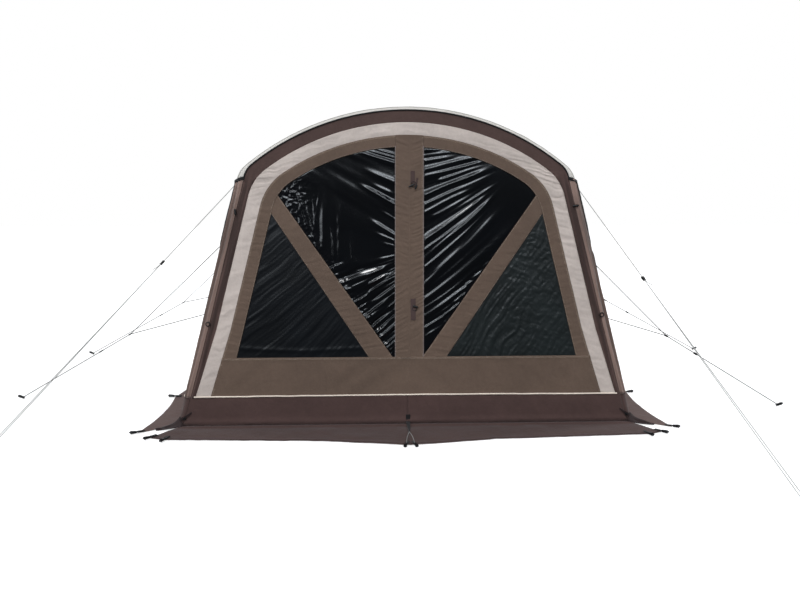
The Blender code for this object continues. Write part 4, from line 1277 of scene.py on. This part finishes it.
def side_pipings():
    """Cream piping along the foot of each side wall, from sleeve to sleeve."""
    corner_x, corner_y = on_turn(np.linspace(0.58, 1.0, 10) * math.pi / 2, SKIRT_TOP, 0.005)
    wall_x = np.full(len(WALL_RUN), side_x(SKIN, SKIRT_TOP) + 0.005)
    x = np.concatenate([corner_x, wall_x, corner_x[::-1]])
    y = np.concatenate([corner_y, WALL_RUN, -corner_y[::-1]])
    z = SKIRT_TOP + 0.0015 * noise(y / 0.15, 0, 163)
    for side, sign in LEFT_FIRST:
        joined(f"{side}_side_piping_cord", [tube(line_of(x * sign, y, z), 0.0036)], CREAM)


def roof_seams():
    """The welts of the roof: over the middle beam, along its front and rear turn, and over the side walls."""
    middle = full_arch(moved_in(SKIN, -0.0012), 1.60, (6, 20, 90))
    welts = [tube(wall_points(middle, 0.0), 0.0042, 6)]
    turn, proud = math.radians(48), 0.0016
    share, back = math.sin(turn), math.cos(turn)
    edge, skin = (full_arch(line, 1.684, (4, 20, 90)) for line in (BORDER_OUTER, SKIN))
    line = edge * (1 - share) + skin * share
    line = line + arch_normals(line) * proud * share
    y = FRONT_Y + ROUND_DEPTH * (1 - back) - proud * back
    welts += [tube(wall_points(line, y * sign), 0.0022, 6) for sign in (1, -1)]
    joined("roof_welts", welts, WELT)
    y = np.linspace(FRONT_Y + ROUND_DEPTH * 0.9, REAR_Y - ROUND_DEPTH * 0.9, 130)
    x = side_x(SKIN, SIDE_TOP) + 0.0026 - beam_sag(y, SIDE_TOP)
    hems = [tube(line_of(x * sign, y, SIDE_TOP - 0.001), 0.0030, 6) for sign in (1, -1)]
    joined("side_wall_top_hems", hems, BROWN)


# Pegs, guys and fittings

PEG_RADIUS = 0.0098
PEG_INSET = 0.004  # how far inside a flap's edge its pegs stand
SHOULDER_TAB = 1.650
UPPER_TAB = 1.540
LOWER_TAB = 0.600


def peg_shape(x, y, away, reach, height=0.004):
    """The head of a ground peg: a stout bar that leans away and ends in a rounded hook."""
    lean = Vector((*away, 0)).normalized()
    foot = Vector((x, y, 0.0115)) + lean * reach
    path = [foot + lean * 0.036 * t + Vector((0, 0, height * t)) for t in np.linspace(0, 1, 6)]
    path.append(path[-1] + lean * 0.005 - Vector((0, 0, 0.005)))
    return tube(path, lambda t: PEG_RADIUS * (0.85 + 0.30 * t))


def loop_shapes(x, y, away):
    """The webbing from a flap's edge to its peg, and the elastic loop round the peg."""
    lean = Vector((*away, 0)).normalized()
    side = Vector((-lean.y, lean.x, 0))
    start = Vector((x, y, 0.012)) - lean * 0.030
    tip = Vector((x, y, 0.014)) + lean * 0.022
    near = [start + lean * 0.020 + side * 0.007, start + lean * 0.040 + side * 0.009, tip + side * 0.004]
    back = [tip - side * 0.004, start + lean * 0.040 - side * 0.009, start + lean * 0.020 - side * 0.007]
    web = rounded_box(start + lean * 0.010, lean + Vector((0, 0, 0.05)), side, (0.044, 0.019, 0.0040), 0.0014)
    return tube(near + back, 0.0030, 6), web


def skirt_pegs():
    """The pegs of all ground flaps, each with its webbing and loop."""
    places = []
    for x in (0.025, 1.560, 1.660):
        y = FRONT_Y - flap_depth("front", x) + PEG_INSET
        for sign in (1, -1):
            places.append((x * sign, y, (0.6 * sign, -0.8) if x > 1.6 else (0.25 * sign, -1.0)))
    for x in (0.0, 0.810, 1.620):
        y = REAR_Y + flap_depth("rear", x) - PEG_INSET
        for sign in (1, -1) if x else (1,):
            places.append((x * sign, y, (0.6 * sign, 0.8) if x > 1.5 else (0.0, 1.0)))
    for i in range(SIDE_FLAP_BAYS + 1):
        y = -SIDE_FLAP_REACH + 2 * SIDE_FLAP_REACH * i / SIDE_FLAP_BAYS
        tilt = {0: -0.6, SIDE_FLAP_BAYS: 0.6}.get(i, 0.0)
        for sign in (1, -1):
            places.append(((SIDE_FLAP_OUTER - PEG_INSET) * sign, y, ((1 - abs(tilt) * 0.3) * sign, tilt)))
    joined("skirt_pegs", [peg_shape(*place, 0.010) for place in places], BLACK)
    joined("skirt_peg_loops", [shape for place in places for shape in loop_shapes(*place)], BLACK_WEB)


def centre_tag():
    """The webbing at the skirt's split: sewn to its upright part, it narrows to two cords and their pegs."""
    size = (0.056, 0.030, 0.0032)
    sewn = rounded_box((0.002, FRONT_Y - 0.0085, 0.042), (0, -0.02, 1), (1, 0, 0), size, 0.0012)
    steps = np.linspace(0, 1, 9)
    path = [Vector((0.002, FRONT_Y - 0.010 - 0.190 * t, 0.014 + 0.006 * (1 - t) ** 3)) for t in steps]
    widths = 2 * (0.015 * (1 - steps) + 0.003 * steps)
    webbing = strip_shape(path, [Vector((0, 0, 1))] * len(path), widths, 0.0032)
    joined("skirt_split_tag", [sewn, webbing], BLACK_WEB)
    tip = Vector((0.002, FRONT_Y - 0.196, 0.0165))
    cords = []
    for sign in (1, -1):
        end = Vector((0.025 * sign, FRONT_Y - 0.396, 0.013))
        aside = Vector((0.006 * sign, 0, 0))
        cords.append(tube([tip.lerp(end, t) + aside * bow(t) for t in steps], 0.0018, 6))
    joined("skirt_split_cords", cords, CORD)


def sleeve_point(share, z, proud):
    """A point on the right front sleeve, and the direction out of it."""
    turn = share * math.pi / 2
    return Vector((*on_turn(turn, z, proud), z)), Vector((math.sin(turn), -math.cos(turn), 0))


def corner_shapes(right):
    """The fittings of one corner: its strap, foot strap, ring, toggles and shoulder ring."""
    path = [sleeve_point(t, 1.683 - 0.033 * t, 0.0095) for t in np.linspace(-0.05, 1.0, 12)]
    last, out = path[-1]
    path += [(last + Vector((0, 0.035 * k, 0)), out) for k in (0.4, 0.8, 1.2)]
    strap = strip_shape(*zip(*path), [0.018] * len(path), 0.0026)
    foot = [sleeve_point(t, 0.072 - 0.062 * t, 0.0120 + 0.002 * t) for t in np.linspace(-0.45, 0.85, 12)]
    foot_strap = strip_shape(*zip(*foot), [0.012] * len(foot), 0.0024)
    toggles = []
    for share, z, size in ((0.02, 0.060, (0.022, 0.015, 0.007)), (0.56, 0.032, (0.018, 0.015, 0.006))):
        place, _ = sleeve_point(share, z, 0.0175)
        toggles.append(rounded_box(place, (1, 0, -0.6), (0.6, 0, 1), size, 0.002))
    ring_z, toggle_z, along = (0.742, 1.494, (1, 0, 0.1)) if right else (0.694, 1.452, (0.15, 0, 1))
    ring = ring_shape(*sleeve_point(0.06, ring_z, 0.0075), 0.0135, 0.0040)
    toggles.append(toggle_shape(sleeve_point(0.02, toggle_z, 0.0095)[0], along, 0.040, 0.0080))
    shoulder_ring = ring_shape(*sleeve_point(0.18, 1.683, 0.0085), 0.0085, 0.0026)
    return [strap], [foot_strap], [ring], toggles, [shoulder_ring]


def sleeve_fittings():
    """Straps, toggles and rings on the sleeves, at the shoulders and at the feet."""
    kinds = ([], [], [], [], [])
    for sx in (1, -1):
        for sy in (1, -1):
            for kind, shapes in zip(kinds, corner_shapes(sx == 1)):
                for points, faces in shapes:
                    kind.append(([(x * sx, y * sy, z) for x, y, z in points], faces))
    straps, feet, rings, toggles, shoulder_rings = kinds
    joined("sleeve_straps", straps, BLACK_WEB, smooth_angle=30)
    joined("sleeve_foot_straps", feet, DARK, smooth_angle=30)
    joined("sleeve_rings", rings, BLACK)
    joined("sleeve_toggles", toggles, BLACK)
    joined("shoulder_rings", shoulder_rings, GREY)


def slider_shape(start, end, distance):
    """A slider on a cord, at a distance from the cord's start."""
    along = (end - start).normalized()
    across = along.cross(Vector((0, 0, 1)))
    return rounded_box(start + along * distance, along, across, (0.026, 0.012, 0.008), 0.002)


def strand(a, b, radius):
    return tube([a.lerp(b, i / 12) for i in range(13)], radius, 6)


def tab_shape(y, z, sign):
    """A webbing tab on a side wall and the point where its cord starts."""
    out = Vector((sign, 0, SIDE_LEAN)).normalized()
    centre = Vector((sign * float(side_x(SKIN, z)), y, z)) + out * 0.0023
    return rounded_box(centre, (-sign * SIDE_LEAN, 0, 1), (0, 1, 0), (0.055, 0.026, 0.003), 0.001), centre


def guy_peg(point, away):
    """A guy's peg and the point where its cord ends."""
    lean = Vector((*away, 0)).normalized()
    end = Vector((*point, 0)) + lean * 0.0156 + Vector((0, 0, 0.018))
    return peg_shape(*point, lean[:2], 0.004, 0.020), end


def guy_pieces(name, cords, surface, fittings, tabs, tab_name):
    joined(f"{name}_cord", cords, surface, [name])
    joined(f"{name}_fittings", fittings, BLACK)
    joined(f"{name}_{tab_name}", tabs, BLACK_WEB)


def corner_guy(name, sign, y, peg_at, share):
    """A guy from a shoulder: one cord to the slider and two strands on to the peg."""
    tab, start = tab_shape(y, SHOULDER_TAB, sign)
    away = Vector(peg_at) - Vector((sign * BASE_HALF, y))
    peg, end = guy_peg(peg_at, away)
    middle = start.lerp(end, share)
    aside = Vector((-away.y, away.x, 0)).normalized() * 0.010
    tail = middle + Vector((0.035 * sign, -0.06, -0.035))
    cords = [
        strand(start, middle, 0.0026),
        strand(middle, end + aside, 0.0024),
        strand(middle, end - aside, 0.0024),
        tube([end - aside * 1.1, end, end + aside * 1.1], 0.0024, 6),
        tube([middle, middle.lerp(tail, 0.5) + Vector((0, 0, -0.004)), tail], 0.0020, 6),
    ]
    slider = slider_shape(start, end, (middle - start).length)
    guy_pieces(name, cords, CORD, [slider, peg], [tab], "tab")


def branched_guy(name, sign, y, junction, peg_at):
    """A guy with two branches on a beam and one trunk down to its peg."""
    (upper, upper_end), (lower, lower_end) = (tab_shape(y, z, sign) for z in (UPPER_TAB, LOWER_TAB))
    peg, end = guy_peg(peg_at, Vector(peg_at) - Vector(junction[:2]))
    junction = Vector(junction)
    painted_fold_runs = ((upper_end, junction), (lower_end, junction), (junction, end))
    cords = [strand(a, b, 0.0034) for a, b in painted_fold_runs]
    fittings = [slider_shape(junction, end, 0.0), slider_shape(junction, end, 0.25), peg]
    guy_pieces(name, cords, DARK_CORD, fittings, [upper, lower], "tabs")


def guys():
    tab_y = FRONT_Y + 0.095
    rear_beam = REAR_Y - BEAM_DEPTH
    corner_guy("front_left_guy", -1, tab_y, (-2.300, -3.000), 0.31)
    corner_guy("front_right_guy", 1, tab_y, (1.850, -3.000), 0.37)
    corner_guy("back_left_guy", -1, -tab_y, (-2.075, 3.000), 0.34)
    corner_guy("back_right_guy", 1, -tab_y, (2.075, 3.000), 0.34)
    branched_guy("middle_left_guy", -1, 0.0, (-2.230, -0.520, 0.440), (-2.920, -0.820))
    branched_guy("middle_right_guy", 1, 0.0, (2.130, -0.740, 0.440), (2.750, -1.200))
    branched_guy("rear_left_guy", -1, rear_beam, (-2.230, 0.970, 0.480), (-3.030, 0.690))
    branched_guy("rear_right_guy", 1, rear_beam, (2.230, 0.970, 0.480), (3.030, 0.690))


# Stage, light and camera

def stage():
    bpy.ops.mesh.primitive_plane_add(size=80, location=(0, 0, -0.001))
    floor = bpy.context.object
    floor.name = "floor"
    n = Nodes(
        "pale_floor", Base_Color=(0.90, 0.90, 0.90, 1), Roughness=1.0, Specular_IOR_Level=0.0,
        Emission_Color=(1, 1, 1, 1), Emission_Strength=0.52,
    )
    floor.data.materials.append(n.material)
    floor.visible_glossy = False
    floor.visible_diffuse = False


def placed_in_scene(name, data):
    thing = bpy.data.objects.new(name, data)
    bpy.context.scene.collection.objects.link(thing)
    return thing


def aimed(direction):
    return Vector(direction).to_track_quat("-Z", "Y").to_euler()


def sun(name, energy, angle, rotation):
    data = bpy.data.lights.new(name, "SUN")
    data.energy = energy
    data.angle = math.radians(angle)
    placed_in_scene(name, data).rotation_euler = rotation


def light(name, place, target, size, radiance):
    """A rectangular soft light of an even brightness."""
    data = bpy.data.lights.new(name, "AREA")
    data.shape = "RECTANGLE"
    data.size, data.size_y = size
    data.color = (0.87, 0.935, 1.0)
    data.energy = radiance * math.pi * size[0] * size[1]
    lamp = placed_in_scene(name, data)
    lamp.location = place
    lamp.visible_camera = False
    lamp.rotation_euler = aimed(Vector(target) - Vector(place))


def surroundings():
    """White surroundings that light the scene softly and show dark in gloss."""
    world = bpy.data.worlds.new("studio")
    bpy.context.scene.world = world
    world.use_nodes = True
    tree = world.node_tree
    tree.nodes.clear()
    output = tree.nodes.new("ShaderNodeOutputWorld")
    path = tree.nodes.new("ShaderNodeLightPath")

    def sky(strength):
        node = tree.nodes.new("ShaderNodeBackground")
        node.inputs["Color"].default_value = (1, 1, 1, 1)
        node.inputs["Strength"].default_value = strength
        return node.outputs[0]

    def choose(*sources):
        node = tree.nodes.new("ShaderNodeMixShader")
        for source, socket in zip(sources, node.inputs):
            tree.links.new(source, socket)
        return node.outputs[0]

    soft = choose(path.outputs["Is Glossy Ray"], sky(0.28), sky(0.04))
    tree.links.new(choose(path.outputs["Is Camera Ray"], soft, sky(1.0)), output.inputs[0])


def studio():
    """The surroundings, three suns, and panels and strips of light for gloss on the film."""
    surroundings()
    sun("soft_sun", 1.25, 16, (math.radians(38), math.radians(-16), 0))
    sun("left_sun", 0.40, 14, aimed((0.8, -0.28, -0.5)))
    sun("right_sun", 0.62, 14, aimed((-0.8, -0.28, -0.5)))
    light("panel_soft", (0.5, -8.8, 4.45), (0, -1.5, 1.2), (8.0, 2.8), 1.3)
    light("panel_core", (0.3, -8.95, 4.0), (0, -1.5, 1.2), (6.5, 1.0), 3.0)
    light("strip_high", (-0.5, -6.8, 6.4), (0, -1.5, 1.2), (6.0, 0.20), 14)
    light("strip_middle", (0.6, -8.9, 4.2), (0, -1.5, 1.2), (5.5, 0.16), 14)
    light("strip_left", (-3.9, -7.0, 2.6), (-0.4, -1.5, 1.3), (1.5, 3.2), 3.0)
    light("strip_right", (5.4, -6.2, 2.8), (0.4, -1.5, 1.3), (0.6, 2.6), 2.6)
    light("panel_behind", (0.5, 9.0, 4.6), (0, 1.5, 1.2), (6.0, 2.4), 1.3)
    light("strip_behind", (1.0, 9.0, 4.3), (0, 1.5, 1.2), (5.0, 0.3), 12)
    light("low_panel_behind", (0, 9.0, 2.0), (0, 1.5, 1.2), (8.0, 2.8), 1.6)
    light("floor_strip_behind", (0, 6.5, -3.2), (0, 1.5, 1.0), (16.0, 0.8), 2.0)
    for side, sign in LEFT_FIRST:
        target = (1.4 * sign, 0, 1.0)
        light(f"side_panel_{side}", (9.0 * sign, 0.8, 4.6), target, (4.5, 2.2), 1.0)
        light(f"side_strip_{side}", (9.0 * sign, 0.9, 4.3), target, (4.0, 0.3), 9)
        light(f"side_low_panel_{side}", (9.0 * sign, 0.5, 2.0), target, (7.0, 2.4), 0.4)
        light(f"floor_strip_{side}", (6.5 * sign, 0, -3.2), target, (0.8, 16.0), 2.0)
    bpy.context.scene.view_settings.view_transform = "Standard"


def camera():
    data = bpy.data.cameras.new("camera")
    data.sensor_width = 36
    data.lens = 29.66
    data.shift_y = -0.119
    thing = placed_in_scene("camera", data)
    thing.location = (-0.21, FRONT_Y - 4.5, 1.5)
    thing.rotation_euler = (math.pi / 2, 0, math.radians(-2))
    bpy.context.scene.camera = thing


def build():
    for end, _ in ENDS:
        outer_border(end)
        inner_border(end)
        lower_panel(end)
    frames("front")
    centre_strip("front")
    braces()
    front_windows()
    rear_wall()
    roof_bays()
    side_walls()
    skirts()
    end_pipings()
    side_pipings()
    roof_seams()
    wall_seams()
    strip_fittings()
    skirt_pegs()
    centre_tag()
    sleeve_fittings()
    guys()
    for end in ("front", "middle", "rear"):
        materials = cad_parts[f"{end}_air_beam"].data.materials
        materials.clear()
        materials.append(BEAM.material)


camera()
studio()
stage()
build()
